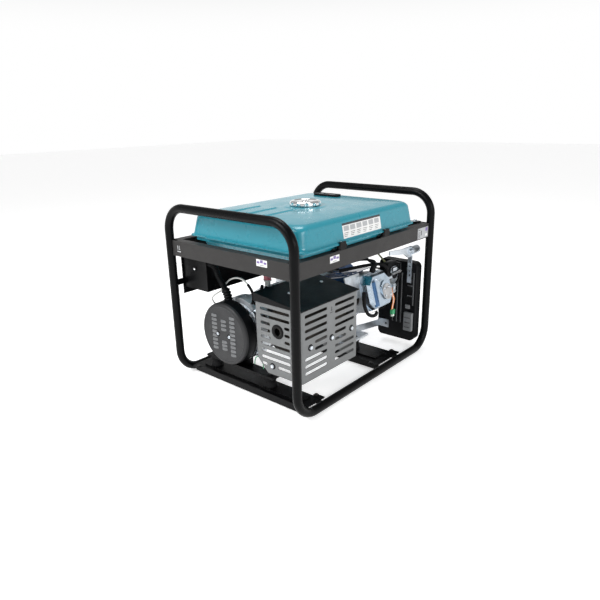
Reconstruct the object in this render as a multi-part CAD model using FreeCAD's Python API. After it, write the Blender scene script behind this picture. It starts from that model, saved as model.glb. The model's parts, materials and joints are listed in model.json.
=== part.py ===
import FreeCAD, Part
import math
import os

# Open-frame petrol generator. Millimetres, +Z up, origin at the centre of the footprint on the floor.
# -Y is the control panel side, +Y the muffler side, +X the alternator end, -X the engine end.

V = FreeCAD.Vector
X_AXIS = V(1, 0, 0)
Y_AXIS = V(0, 1, 0)
Z_AXIS = V(0, 0, 1)

# Driving dimensions of the tube frame
LENGTH = 700.0
WIDTH = 513.0
HEIGHT = 548.0
TUBE_R = 12.7
TUBE_WALL = 2.0
BEND_R = 70.0
POST_X = LENGTH / 2 - TUBE_R
POST_Y = WIDTH / 2 - TUBE_R
HANDLE_Z = HEIGHT - TUBE_R
RAIL_Z = TUBE_R

# Upper rails: steel angle between the posts
BAND_TOP = 438.0
BAND_H = 45.0
BAND_T = 3.0
LIP_W = 25.0

# Crossmembers under the engine and the alternator
CROSS_TOP = 25.0
CROSS_T = 3.0
ALT_CROSS_X = (220.0, 292.0)
ENG_CROSS_X = (-180.0, -68.0)

# Fuel tank
TANK_X = (-245.0, 311.0)
TANK_Y = (-195.0, 244.0)
TANK_TOP = 524.0
TANK_SEAM_Z = 455.0
TANK_FLOOR_Z = 441.0
TANK_BELLY_Z = 404.0
TANK_T = 1.5
FLANGE_CORNER_R = 30.0
TRAY_INSET = 15.0
CAP_X, CAP_Y = 45.0, 33.0
CAP_R = 47.0
CAP_H = 14.0
NECK_R = 35.0

# Crankshaft line, shared by the engine and the alternator
CRANK_Y = -81.0
CRANK_Z = 164.0
SHAFT_R = 17.5

# Alternator
COVER_X = (250.0, 295.0)
COVER_R = 96.0
BRACKET_R = 97.0
STATOR_R = 86.0
ROTOR_R = 55.0
AIR_GAP = 0.8
BOLT_CIRCLE = 92.0

# Engine
CASE_X = (-185.0, -30.0)
CASE_Y = (-172.0, 2.0)
CASE_Z = (66.0, 252.0)
CYL_X = -130.0
CYL_TILT = 15.3
FAN_X = (-286.0, -205.0)
FAN_R = 116.0
RECOIL_X = (-332.0, -286.0)

# Muffler
GUARD_X = (15.0, 272.0)
GUARD_Y = (37.0, 205.0)
GUARD_Z = (78.0, 288.0)
GUARD_T = 2.0
SLOT_PITCH = 20.8
SLOT_H = 9.0
SLOT_ROWS = 9
SLOT_TOP_Z = 271.0
OUTLET_Y, OUTLET_Z = 117.0, 213.0

# Control box
BOX_X = (-20.0, 300.0)
BOX_Y = (-240.0, -133.0)
BOX_Z = (287.0, 392.0)
PANEL_Z0 = 265.0
PANEL_T = 3.0
PANEL_FACE = BOX_Y[0] - PANEL_T

# Air filter at the engine end
FILTER_X = (-326.0, -288.0)
FILTER_SPLIT_X = -300.0
FILTER_Y = (85.0, 229.0)
FILTER_Z = (30.0, 308.0)

# Clearance of a shaft turning in its own hole
RUN = 0.05


# ---------------------------------------------------------------- shape helpers

def box(x, y, z):
    """Box between three (low, high) pairs."""
    return Part.makeBox(x[1] - x[0], y[1] - y[0], z[1] - z[0], V(x[0], y[0], z[0]))


def rod(start, axis, radius, length):
    return Part.makeCylinder(radius, length, V(*start), axis)


def ring(start, axis, outer, inner, length):
    return rod(start, axis, outer, length).cut(rod(start, axis, inner, length))


def bolt(seat, axis, radius, shank, head_r, head_h):
    """Hex-head bolt with its washer; seat is on the clamped face and axis points out of it."""
    start = V(*seat)
    washer = Part.makeCylinder(head_r * 1.35, 1.2, start, axis)
    hexagon = Part.makePolygon([V(head_r * math.cos(a), head_r * math.sin(a), 0)
                                for a in [k * math.pi / 3 for k in range(7)]])
    head = Part.Face(Part.Wire(hexagon.Edges)).extrude(V(0, 0, head_h))
    head.Placement = FreeCAD.Placement(start + axis * 1.2, FreeCAD.Rotation(Z_AXIS, axis))
    parts = [washer, head]
    if shank > 0:
        parts.append(Part.makeCylinder(radius, shank, start, axis * -1))
    return fuse(parts)


def fuse(parts):
    out = parts[0]
    if len(parts) > 1:
        out = out.multiFuse(parts[1:]).removeSplitter()
    return out


def group(parts):
    return Part.makeCompound(parts)


def round_rect(x, y, z, r):
    """Closed wire of a rectangle with round corners in a level plane."""
    edges = []
    x0, x1 = x
    y0, y1 = y
    corners = [(x1 - r, y1 - r, 0), (x0 + r, y1 - r, 90), (x0 + r, y0 + r, 180), (x1 - r, y0 + r, 270)]
    arcs = [Part.Arc(*[V(cx + r * math.cos(math.radians(a + d)), cy + r * math.sin(math.radians(a + d)), z)
                       for d in (0, 45, 90)]).toShape() for cx, cy, a in corners]
    for k in range(4):
        edges.append(arcs[k])
        a = arcs[k].Vertexes[-1].Point
        b = arcs[(k + 1) % 4].Vertexes[0].Point
        edges.append(Part.LineSegment(a, b).toShape())
    return Part.Wire(edges)


def round_prism(x, y, z, r):
    return Part.Face(round_rect(x, y, z[0], r)).extrude(V(0, 0, z[1] - z[0]))


def loft(sections):
    return Part.makeLoft([round_rect(x, y, z, r) for x, y, z, r in sections], True, True)


def swung(shape, degrees, centre, axis):
    out = shape.copy()
    out.rotate(V(*centre), axis, degrees)
    return out


def bent_path(points, radii):
    """Straight runs joined by tangent arcs, as one wire."""
    edges = []
    pts = [V(*p) for p in points]
    last = pts[0]
    for k in range(1, len(pts) - 1):
        a = (pts[k - 1] - pts[k]).normalize()
        b = (pts[k + 1] - pts[k]).normalize()
        half = a.getAngle(b) / 2
        setback = radii[k - 1] / math.tan(half)
        start = pts[k] + a * setback
        end = pts[k] + b * setback
        middle = pts[k] + (a + b).normalize() * (radii[k - 1] / math.sin(half) - radii[k - 1])
        if last.distanceToPoint(start) > 1e-6:
            edges.append(Part.LineSegment(last, start).toShape())
        edges.append(Part.Arc(start, middle, end).toShape())
        last = end
    if last.distanceToPoint(pts[-1]) > 1e-6:
        edges.append(Part.LineSegment(last, pts[-1]).toShape())
    return Part.Wire(edges)


def swept_round(path, radius):
    start = path.OrderedEdges[0]
    direction = start.tangentAt(start.FirstParameter)
    circle = Part.Wire(Part.makeCircle(radius, path.OrderedVertexes[0].Point, direction))
    return path.makePipeShell([circle], True, False)


def gentle_radii(points):
    """Arc radius at each inner point of a cord: 0.45 of the shorter run over the tangent of half the turn."""
    out = []
    pts = [V(*p) for p in points]
    for k in range(1, len(pts) - 1):
        a = pts[k] - pts[k - 1]
        b = pts[k + 1] - pts[k]
        out.append(0.45 * min(a.Length, b.Length) / math.tan(a.getAngle(b) / 2))
    return out


def cord(name, points, radius):
    radii = gentle_radii(points)
    path = bent_path(points, radii)
    solid = swept_round(path, radius)
    print(name, "radii", [round(r) for r in radii], "volume ratio",
          round(solid.Volume / (math.pi * radius ** 2 * path.Length), 4))
    return solid


# ---------------------------------------------------------------- tube frame

def end_hoop(side):
    """Bottom bends, posts and handle of one end, in one bent tube; side is +1 at the alternator."""
    x = side * POST_X
    start_x = side * (POST_X - BEND_R)
    points = [(start_x, -POST_Y, RAIL_Z), (x, -POST_Y, RAIL_Z), (x, -POST_Y, HANDLE_Z),
              (x, POST_Y, HANDLE_Z), (x, POST_Y, RAIL_Z), (start_x, POST_Y, RAIL_Z)]
    path = bent_path(points, [BEND_R] * 4)
    return swept_round(path, TUBE_R).cut(swept_round(path, TUBE_R - TUBE_WALL))


def bottom_rails():
    """The two straight floor tubes that join the end hoops."""
    half = POST_X - BEND_R
    return group([ring((-half, side * POST_Y, RAIL_Z), X_AXIS, TUBE_R, TUBE_R - TUBE_WALL, 2 * half)
                  for side in (-1, 1)])


def side_upper_rail(side):
    """Angle along X: upright web in the plane of the posts, lip turned inward at the top."""
    reach = POST_X - TUBE_R
    y = side * POST_Y
    web = box((-reach, reach), (y - BAND_T / 2, y + BAND_T / 2), (BAND_TOP - BAND_H, BAND_TOP))
    inner = y - side * LIP_W
    lip = box((-reach, reach), tuple(sorted((inner, y))), (BAND_TOP - BAND_T, BAND_TOP))
    rail = fuse([web, lip])
    bolt_in = 6 if side > 0 else 9
    holes = [rod((x + CLIP_BOLT_DX, y - side * bolt_in, BAND_TOP - 10), Z_AXIS, 3.2, 20) for x in CLIP_X]
    return rail.cut(group(holes))


def end_upper_rail(side):
    """Angle along Y between the posts; its lip stops short of the side rails' lips."""
    reach = POST_Y - TUBE_R
    x = side * POST_X
    web = box((x - BAND_T / 2, x + BAND_T / 2), (-reach, reach), (BAND_TOP - BAND_H, BAND_TOP))
    inner = x - side * LIP_W
    lip_reach = POST_Y - LIP_W - 1
    lip = box(tuple(sorted((inner, x))), (-lip_reach, lip_reach), (BAND_TOP - BAND_T, BAND_TOP))
    return fuse([web, lip])


def crossmember(x, ridge):
    """Pressed channel across the two bottom rails, with a raised seat and turned-down lips."""
    reach = POST_Y - TUBE_R - 0.5
    top = box(x, (-reach, reach), (CROSS_TOP - CROSS_T, CROSS_TOP))
    parts = [top]
    for edge in x:
        lip_x = (edge, edge + CROSS_T) if edge == x[0] else (edge - CROSS_T, edge)
        parts.append(box(lip_x, (-reach, reach), (4, CROSS_TOP)))
    centre = (x[0] + x[1]) / 2
    parts.append(box((centre - ridge, centre + ridge), (-reach + 30, reach - 30), (CROSS_TOP, CROSS_TOP + 4)))
    for end in (-1, 1):
        ear_y = tuple(sorted((end * reach, end * (reach - 22))))
        parts.append(box((x[0] - 14, x[1] + 14), ear_y, (CROSS_TOP - CROSS_T, CROSS_TOP)))
    body = fuse(parts)
    holes = [rod((mx, my, 0), Z_AXIS, 5.0, 60) for mx, my in MOUNT_XY if x[0] < mx < x[1]]
    return body.cut(group(holes))


CLIP_X = (-68.0, 145.0)
CLIP_BOLT_DX = 23.0
MOUNT_XY = ((256.0, 70.0), (256.0, -165.0), (-124.0, 96.0), (-124.0, -186.0))
MOUNT_R = 20.0
MOUNT_TOP = 60.0
FOOT_T = 6.0
CASE_FOOT_T = 8.0


def rubber_mounts():
    """Four bonded rubber isolators, each a waisted round block, and the four pads under the tank."""
    out = []
    base = CROSS_TOP + 4
    for x, y in MOUNT_XY:
        low = Part.makeCone(MOUNT_R, MOUNT_R - 5, (MOUNT_TOP - base) / 2, V(x, y, base))
        high = Part.makeCone(MOUNT_R - 5, MOUNT_R, (MOUNT_TOP - base) / 2, V(x, y, (MOUNT_TOP + base) / 2))
        out.append(fuse([low, high]).cut(rod((x, y, 0), Z_AXIS, 4.0, 80)))
    for x in CLIP_X:
        out.append(box((x - 14, x + 14), (POST_Y - LIP_W + 1, TANK_Y[1] - TRAY_INSET - 1),
                       (BAND_TOP, TANK_FLOOR_Z)))
        out.append(box((x - 14, x + 14), (TANK_Y[0] + TRAY_INSET + 1, TANK_Y[0] + TRAY_INSET + 13),
                       (BAND_TOP, TANK_FLOOR_Z)))
    return group(out)


def frame_bolts():
    """Isolator studs with their nuts, the crossmember bolts and the tank clip bolts."""
    out = []
    for x, y in MOUNT_XY:
        seat = MOUNT_TOP + (FOOT_T if x > 0 else CASE_FOOT_T)
        out.append(bolt((x, y, seat), Z_AXIS, 4.0, seat - CROSS_TOP + 6, 7.5, 5))
    reach = POST_Y - TUBE_R - 12
    for x in (ALT_CROSS_X[0] - 6, ALT_CROSS_X[1] + 6, ENG_CROSS_X[0] - 6, ENG_CROSS_X[1] + 6):
        for end in (-1, 1):
            out.append(bolt((x, end * reach, CROSS_TOP), Z_AXIS, 3.0, 0, 6.0, 4))
    for x in CLIP_X:
        for y in (9 - POST_Y, POST_Y - 6):
            out.append(bolt((x + CLIP_BOLT_DX, y, BAND_TOP + 3), Z_AXIS, 3.0, 12, 4.0, 3.0))
    return group(out)


# ---------------------------------------------------------------- fuel tank

def tank_outline(inset, z):
    """Outline of the seam flange, drawn in by an inset, at a height."""
    r = max(FLANGE_CORNER_R - inset, 6.0)
    return ((TANK_X[0] + inset, TANK_X[1] - inset), (TANK_Y[0] + inset, TANK_Y[1] - inset), z, r)


# Sections of the upper shell: height, insets from the flange at -X, +X, -Y and +Y, and corner radius
TANK_WALL = ((457.0, 7.0, 8.0, 8.0, 6.0, 14.0), (500.0, 12.0, 14.0, 18.0, 33.0, 36.0),
             (509.0, 15.0, 18.0, 23.0, 40.0, 42.0), (516.0, 22.0, 26.0, 31.0, 49.0, 44.0),
             (520.5, 36.0, 41.0, 45.0, 65.0, 44.0), (523.0, 70.0, 80.0, 80.0, 100.0, 44.0),
             (524.0, 120.0, 130.0, 120.0, 140.0, 44.0))


def tank_body(skin):
    """Solid inside the upper shell's outer skin, or that solid drawn in by the skin thickness."""
    sections = []
    for k, (z, low_x, high_x, low_y, high_y, r) in enumerate(TANK_WALL):
        x = (TANK_X[0] + low_x + skin, TANK_X[1] - high_x - skin)
        y = (TANK_Y[0] + low_y + skin, TANK_Y[1] - high_y - skin)
        sections.append((x, y, z - (skin if k else 0), r - skin))
    return loft(sections)


def flange_ring(z, inner_inset):
    """Seam flange between two heights; at the +X end it steps back beside the control box."""
    outer = round_prism(*tank_outline(0, z)[:3], FLANGE_CORNER_R)
    inner = round_prism(*tank_outline(inner_inset, z)[:3], FLANGE_CORNER_R - inner_inset)
    step = box((TANK_X[1] - 5.5, TANK_X[1] + 5), (TANK_Y[0] - 5, TANK_Y[0] + 79), (z[0] - 1, z[1] + 1))
    return outer.cut(group([inner, step]))


def tank_upper_shell():
    """Drawn steel top half: leaning walls, rolled top edge, shallow crown, seam flange and three ribs."""
    flange = flange_ring((TANK_SEAM_Z, TANK_SEAM_Z + 2), 10)
    ribs = []
    for y in RIB_Y:
        ribs.append(round_prism((118, 236), (y - 13, y + 13), (TANK_TOP - 8, TANK_TOP + 1.2), 12.9))
    shell = fuse([tank_body(0), flange] + ribs).cut(tank_body(TANK_T))
    return shell.cut(rod((CAP_X, CAP_Y, 480), Z_AXIS, NECK_R, 80))


RIB_Y = (-85.0, -20.0, 45.0)


def tank_lower_shell():
    """Drawn steel bottom half: seam flange, short wall, ledge that rests on the pads, and the belly."""
    rim = flange_ring((TANK_SEAM_Z - 2, TANK_SEAM_Z), TRAY_INSET + TANK_T)
    tray_z = (TANK_FLOOR_Z, TANK_SEAM_Z)
    tray = round_prism(*tank_outline(TRAY_INSET, tray_z)[:3], FLANGE_CORNER_R - TRAY_INSET)
    belly = loft([tank_outline(44, TANK_BELLY_Z), tank_outline(32, TANK_FLOOR_Z + 2)])
    hollow_z = (TANK_FLOOR_Z + TANK_T, TANK_SEAM_Z + 1)
    hollow_inset = TRAY_INSET + TANK_T
    hollow = round_prism(*tank_outline(hollow_inset, hollow_z)[:3], FLANGE_CORNER_R - hollow_inset)
    belly_hollow = loft([tank_outline(45.5, TANK_BELLY_Z + TANK_T), tank_outline(33.5, TANK_FLOOR_Z + 4)])
    shell = fuse([rim, tray, belly]).cut(fuse([hollow, belly_hollow]))
    return shell.cut(rod((COCK_X, COCK_Y, TANK_BELLY_Z - 5), Z_AXIS, 8.0, 12))


def filler_neck():
    """Rolled neck with a lip, and the fuel strainer cup hanging in it."""
    neck = ring((CAP_X, CAP_Y, 500), Z_AXIS, NECK_R, NECK_R - 1.5, TANK_TOP + 6 - 500)
    lip = ring((CAP_X, CAP_Y, TANK_TOP + 4.5), Z_AXIS, NECK_R + 3, NECK_R - 1.5, 1.5)
    cup_r = NECK_R - 1.5
    cup = rod((CAP_X, CAP_Y, 466), Z_AXIS, cup_r, 50).cut(rod((CAP_X, CAP_Y, 467.2), Z_AXIS, cup_r - 1.2, 50))
    windows = [swung(box((CAP_X + cup_r - 6, CAP_X + cup_r + 6), (CAP_Y - 4, CAP_Y + 4), (472, 508)),
                     k * 45, (CAP_X, CAP_Y, 0), Z_AXIS) for k in range(8)]
    return fuse([neck, lip, cup.cut(group(windows))])


def fuel_cap():
    """Chromed cup with a notched rim; its skirt hangs outside the neck lip."""
    base = TANK_TOP + 3.0
    body = rod((CAP_X, CAP_Y, base), Z_AXIS, CAP_R, CAP_H)
    body = body.makeFillet(4.0, [e for e in body.Edges if e.Vertexes[0].Z > base + 1 and e.Curve.TypeId
                                 == "Part::GeomCircle"])
    body = body.cut(rod((CAP_X, CAP_Y, base - 1), Z_AXIS, NECK_R + 6, CAP_H - 8))
    notches = []
    for k in range(24):
        angle = math.radians(k * 15)
        notches.append(rod((CAP_X + (CAP_R + 2.2) * math.cos(angle), CAP_Y + (CAP_R + 2.2) * math.sin(angle),
                            base - 1), Z_AXIS, 4.2, CAP_H - 3))
    dish = rod((CAP_X, CAP_Y, base + CAP_H - 1.6), Z_AXIS, CAP_R - 14, 5)
    return body.cut(group(notches + [dish]))


def cap_gasket():
    """Seal that lies on the neck lip, with the breather disc under it."""
    top = TANK_TOP + 3.0 - 1 + CAP_H - 8
    seat = TANK_TOP + 6.0
    seal = rod((CAP_X, CAP_Y, seat), Z_AXIS, NECK_R + 4, top - 0.3 - seat)
    plug = rod((CAP_X, CAP_Y, seat - 10), Z_AXIS, NECK_R - 6, 10)
    return fuse([seal, plug])


def fuel_gauge():
    """Oblong bezel on the tank top with a window recess."""
    x, y = -172.0, -55.0
    bezel = round_prism((x - 17, x + 17), (y - 50, y + 50), (TANK_TOP - 6, TANK_TOP + 5), 12)
    recess = round_prism((x - 11, x + 11), (y - 36, y + 36), (TANK_TOP + 3, TANK_TOP + 8), 8)
    return bezel.cut(recess).cut(tank_body(0))


def tank_clips():
    """Four steel clips: foot on the rail lip, upright, and a hook over the seam flange."""
    out = []
    t = 3.0
    top = TANK_SEAM_Z + 2.2
    for x in CLIP_X:
        span = (x - 13, x + 13)
        long_span = (x - 13, x + CLIP_BOLT_DX + 9)
        wall_y = TANK_Y[1] + 0.4
        foot = box(long_span, (TANK_Y[1] - TRAY_INSET + 1, wall_y + t), (BAND_TOP, BAND_TOP + t))
        upright = box(span, (wall_y, wall_y + t), (BAND_TOP, top + t))
        hook = box(span, (TANK_Y[1] - 4, wall_y + t), (top, top + t))
        hole = rod((x + CLIP_BOLT_DX, POST_Y - 6, BAND_TOP - 5), Z_AXIS, 3.0, 30)
        out.append(fuse([foot, upright, hook]).cut(hole))
        wall_y = TANK_Y[0] - 1 - t
        lip_edge = -POST_Y + LIP_W
        foot = box(long_span, (-POST_Y + 2, lip_edge + 6), (BAND_TOP, BAND_TOP + t))
        arm = box(span, (lip_edge + 1, TANK_Y[0] + TRAY_INSET + 13), (BAND_TOP - t, BAND_TOP))
        upright = box(span, (wall_y, wall_y + t), (BAND_TOP - t, top + t))
        hook = box(span, (wall_y, TANK_Y[0] + 4), (top, top + t))
        hole = rod((x + CLIP_BOLT_DX, -POST_Y + 9, BAND_TOP - 5), Z_AXIS, 3.0, 30)
        out.append(fuse([foot, arm, upright, hook]).cut(hole))
    return group(out)


COCK_X, COCK_Y = -150.0, 120.0


def fuel_cock():
    """Tap body screwed into the tank floor, with its outlet spigot."""
    stem = rod((COCK_X, COCK_Y, TANK_BELLY_Z - 4), Z_AXIS, 8.0, 8)
    nut = rod((COCK_X, COCK_Y, TANK_BELLY_Z - 10), Z_AXIS, 11.0, 10)
    body = box((COCK_X - 11, COCK_X + 11), (COCK_Y - 10, COCK_Y + 10), (TANK_BELLY_Z - 34, TANK_BELLY_Z - 10))
    spigot = rod((COCK_X, COCK_Y, TANK_BELLY_Z - 46), Z_AXIS, 3.5, 12)
    bore = rod((COCK_X, COCK_Y, TANK_BELLY_Z - 47), Z_AXIS, 1.8, 50)
    pivot = rod((COCK_X, COCK_Y + 4, TANK_BELLY_Z - 22), Y_AXIS, 4.0 + RUN, 8)
    return fuse([stem, nut, body, spigot]).cut(bore).cut(pivot)


def fuel_cock_lever():
    """Quarter-turn lever on a spindle in the tap body, pointing down when open."""
    y = COCK_Y + 10.4
    z = TANK_BELLY_Z - 22
    spindle = rod((COCK_X, COCK_Y + 4.4, z), Y_AXIS, 4.0, 6.4)
    hub = rod((COCK_X, y, z), Y_AXIS, 8.0, 5)
    blade = box((COCK_X - 4, COCK_X + 4), (y, y + 5), (z - 26, z))
    return fuse([spindle, hub, blade])


HOSE_TOP_Z = TANK_BELLY_Z - 46
FUEL_HOSE = ((COCK_X, COCK_Y, HOSE_TOP_Z), (COCK_X, COCK_Y, HOSE_TOP_Z - 17),
             (COCK_X - 14, COCK_Y + 5, HOSE_TOP_Z - 33), (COCK_X - 40, COCK_Y + 13, HOSE_TOP_Z - 44),
             (COCK_X - 66, COCK_Y + 18, HOSE_TOP_Z - 52), (COCK_X - 66, COCK_Y + 18, HOSE_TOP_Z - 70))


# ---------------------------------------------------------------- muffler

def slot(x_or_y, z, face, depth):
    """Round-ended slot cutter; face is 'y' for the long side and 'x' for the end."""
    a, b = x_or_y
    r = SLOT_H / 2
    if face == "y":
        parts = [box((a + r, b - r), (depth - 6, depth + 6), (z - r, z + r)),
                 rod((a + r, depth - 6, z), Y_AXIS, r, 12), rod((b - r, depth - 6, z), Y_AXIS, r, 12)]
    else:
        parts = [box((depth - 6, depth + 6), (a + r, b - r), (z - r, z + r)),
                 rod((depth - 6, a + r, z), X_AXIS, r, 12), rod((depth - 6, b - r, z), X_AXIS, r, 12)]
    return fuse(parts)


def guard_slots():
    cuts = []
    for row in range(SLOT_ROWS):
        z = SLOT_TOP_Z - row * SLOT_PITCH
        left = (161.0, 257.0)
        right = (32.0, 125.0)
        if row in (4, 5):
            left = (161.0, 215.0)
            right = (72.0, 125.0)
        cuts.append(slot(left, z, "y", GUARD_Y[1]))
        cuts.append(slot(right, z, "y", GUARD_Y[1]))
        spans = [(54.0, 163.0)]
        if row in (2, 3, 4):
            spans = [(54.0, 90.0), (143.0, 163.0)]
        if row == 8:
            spans = [(54.0, 74.0), (116.0, 163.0)]
        for span in spans:
            cuts.append(slot(span, z, "x", GUARD_X[1]))
            if row not in (1, 2, 3):
                cuts.append(slot(span, z, "x", GUARD_X[0]))
    return cuts


def muffler_guard():
    """Slotted sheet-steel box round the muffler: three walls and a narrow top flange, open below."""
    outer = box(GUARD_X, GUARD_Y, GUARD_Z)
    outer = outer.makeFillet(7.0, [e for e in outer.Edges if vertical_at(e, GUARD_Y[1])])
    t = GUARD_T
    inner = box((GUARD_X[0] + t, GUARD_X[1] - t), (GUARD_Y[0] - 5, GUARD_Y[1] - t),
                (GUARD_Z[0] - 5, GUARD_Z[1] - t))
    inner = inner.makeFillet(5.0, [e for e in inner.Edges if vertical_at(e, GUARD_Y[1] - t)])
    top_hole = box((GUARD_X[0] + 14, GUARD_X[1] - 14), (GUARD_Y[0] - 5, GUARD_Y[1] - 14),
                   (GUARD_Z[1] - 5, GUARD_Z[1] + 5))
    corner = 40.0
    chamfer = Part.Face(Part.makePolygon([V(0, GUARD_Y[0] - 1, GUARD_Z[0] - 1),
                                          V(0, GUARD_Y[0] + corner, GUARD_Z[0] - 1),
                                          V(0, GUARD_Y[0] - 1, GUARD_Z[0] + corner),
                                          V(0, GUARD_Y[0] - 1, GUARD_Z[0] - 1)])).extrude(V(400, 0, 0))
    shell = outer.cut(group([inner, top_hole, chamfer])).cut(group(guard_slots()))
    outlet = rod((GUARD_X[1] - 10, OUTLET_Y, OUTLET_Z), X_AXIS, 21.0, 20)
    pipe = rod((GUARD_X[0] - 5, PORT_Y, PORT_Z), X_AXIS, 26.0, 12)
    return shell.cut(group([outlet, pipe]))


def vertical_at(edge, y):
    a = edge.Vertexes[0].Point
    b = edge.Vertexes[-1].Point
    return abs(a.x - b.x) < 1e-6 and abs(a.y - b.y) < 1e-6 and abs(a.y - y) < 1e-6


def muffler_shield():
    """Black heat shield over the muffler: top sheet rising away from the long side, with end gussets."""
    t = 1.5
    x = (GUARD_X[0] - 3, GUARD_X[1] + 3)
    low, high = GUARD_Z[1], GUARD_Z[1] + 25
    profile = [(GUARD_Y[1] + 3, low), (GUARD_Y[1] + 3, low + 3), (GUARD_Y[0] - 6, high),
               (GUARD_Y[0] - 6, low)]
    outer = Part.Face(Part.makePolygon([V(x[0], y, z) for y, z in profile + profile[:1]]))
    outer = outer.extrude(V(x[1] - x[0], 0, 0))
    profile = [(GUARD_Y[1] + 3 - t, low - 1), (GUARD_Y[1] + 3 - t, low + 3 - t),
               (GUARD_Y[0] - 6 + t, high - t), (GUARD_Y[0] - 6 + t, low - 1)]
    inner = Part.Face(Part.makePolygon([V(x[0] + t, y, z) for y, z in profile + profile[:1]]))
    inner = inner.extrude(V(x[1] - x[0] - 2 * t, 0, 0))
    return outer.cut(inner)


def muffler_canister():
    """Oval pressed silencer with a rolled seam at each end and its outlet stub."""
    y, z = OUTLET_Y + 3, OUTLET_Z - 8
    body = stadium_prism((38, 244), y, z, 62, 66)
    seams = [stadium_prism((36, 41), y, z, 65, 69), stadium_prism((241, 246), y, z, 65, 69)]
    stub = rod((246, OUTLET_Y, OUTLET_Z), X_AXIS, 14.0, 26)
    flange = rod((GUARD_X[1] - 9, OUTLET_Y, OUTLET_Z), X_AXIS, 20.0, 8)
    hollow = stadium_prism((39.5, 242.5), y, z, 60.5, 64.5)
    bore = rod((240, OUTLET_Y, OUTLET_Z), X_AXIS, 11.0, 40)
    inlet = rod((30, PORT_Y, PORT_Z), X_AXIS, 13.0, 15)
    return fuse([body] + seams + [stub, flange]).cut(group([hollow, bore, inlet]))


def stadium_prism(x, y, z, half_w, half_h):
    """Prism along X with an oval section of round ends."""
    r = half_w
    low = rod((x[0], y, z - half_h + r), X_AXIS, r, x[1] - x[0])
    high = rod((x[0], y, z + half_h - r), X_AXIS, r, x[1] - x[0])
    middle = box(x, (y - r, y + r), (z - half_h + r, z + half_h - r))
    return fuse([low, middle, high])


def exhaust_pipe():
    pipe = ring((CYL_X + 58, PORT_Y, PORT_Z), X_AXIS, 16.0, 13.0, 36 - (CYL_X + 58))
    flange = ring((CYL_X + 58, PORT_Y, PORT_Z), X_AXIS, 25.0, 13.0, 6)
    return fuse([pipe, flange])


def machine_bolts():
    """Bolts of the guard, the top shield, the alternator cover and the alternator's long through bolts."""
    out = []
    for x in (235.0, 141.0, 46.0):
        out.append(bolt((x, GUARD_Y[1], 177.5), Y_AXIS, 3.0, 0, 5.5, 4))
    out.append(bolt((GUARD_X[1], 96.0, 104.0), X_AXIS, 3.0, 0, 5.5, 4))
    drop = 22.0 / (GUARD_Y[1] + 9 - GUARD_Y[0])
    slope = V(0, math.sin(math.atan(drop)), math.cos(math.atan(drop)))
    for x, y in ((204.0, 104.0), (60.0, 104.0)):
        z = GUARD_Z[1] + 3 + drop * (GUARD_Y[1] + 3 - y)
        out.append(bolt((x, y, z), slope, 3.0, 0, 5.5, 4))
    for y in (CRANK_Y - 26, CRANK_Y + 24):
        out.append(bolt((COVER_X[1], y, CRANK_Z - 3), X_AXIS, 2.5, 0, 4.0, 2.5))
    for y, z in bolt_places():
        out.append(bolt((226, y, z), X_AXIS, 3.5, 140, 6.5, 5))
    return group(out)


# ---------------------------------------------------------------- alternator

def alternator_cover():
    """Moulded end cup with three columns of narrow air slots."""
    x0, x1 = COVER_X
    outer = rod((x0, CRANK_Y, CRANK_Z), X_AXIS, COVER_R, x1 - x0)
    outer = outer.makeFillet(9.0, [e for e in outer.Edges if abs(e.BoundBox.XMin - x1) < 1e-6
                                   and abs(e.BoundBox.XMax - x1) < 1e-6])
    inner = rod((x0 - 1, CRANK_Y, CRANK_Z), X_AXIS, COVER_R - 2.5, x1 - x0 - 1.5)
    inner = inner.makeFillet(6.5, [e for e in inner.Edges if abs(e.BoundBox.XMin - (x1 - 2.5)) < 1e-6
                                   and abs(e.BoundBox.XMax - (x1 - 2.5)) < 1e-6])
    cuts = [box((x1 - 8, x1 + 2), (y - 9, y + 9), (z - 1.5, z + 1.5)) for y, z in louvre_places()]
    lead = rod((CONDUIT[0][0], CONDUIT[0][1], CRANK_Z + 80), Z_AXIS, CONDUIT_R + 0.4, 40)
    return outer.cut(inner).cut(group(cuts)).cut(lead)


def louvre_places():
    """Centres of the air slots on the cover's face: two tall columns and a broken one between them."""
    for dy, top, count in ((-38.5, 52.0, 9), (39.0, 57.0, 10)):
        for k in range(count):
            yield CRANK_Y + dy, CRANK_Z + top - 12.8 * k
    for k in range(3):
        yield CRANK_Y + 2, CRANK_Z + 41 - 12.8 * k
        yield CRANK_Y + 2, CRANK_Z - 25 - 11.0 * k


def bolt_places():
    for k in range(4):
        angle = math.radians(45 + 90 * k)
        yield CRANK_Y + BOLT_CIRCLE * math.cos(angle), CRANK_Z + BOLT_CIRCLE * math.sin(angle)


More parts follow.
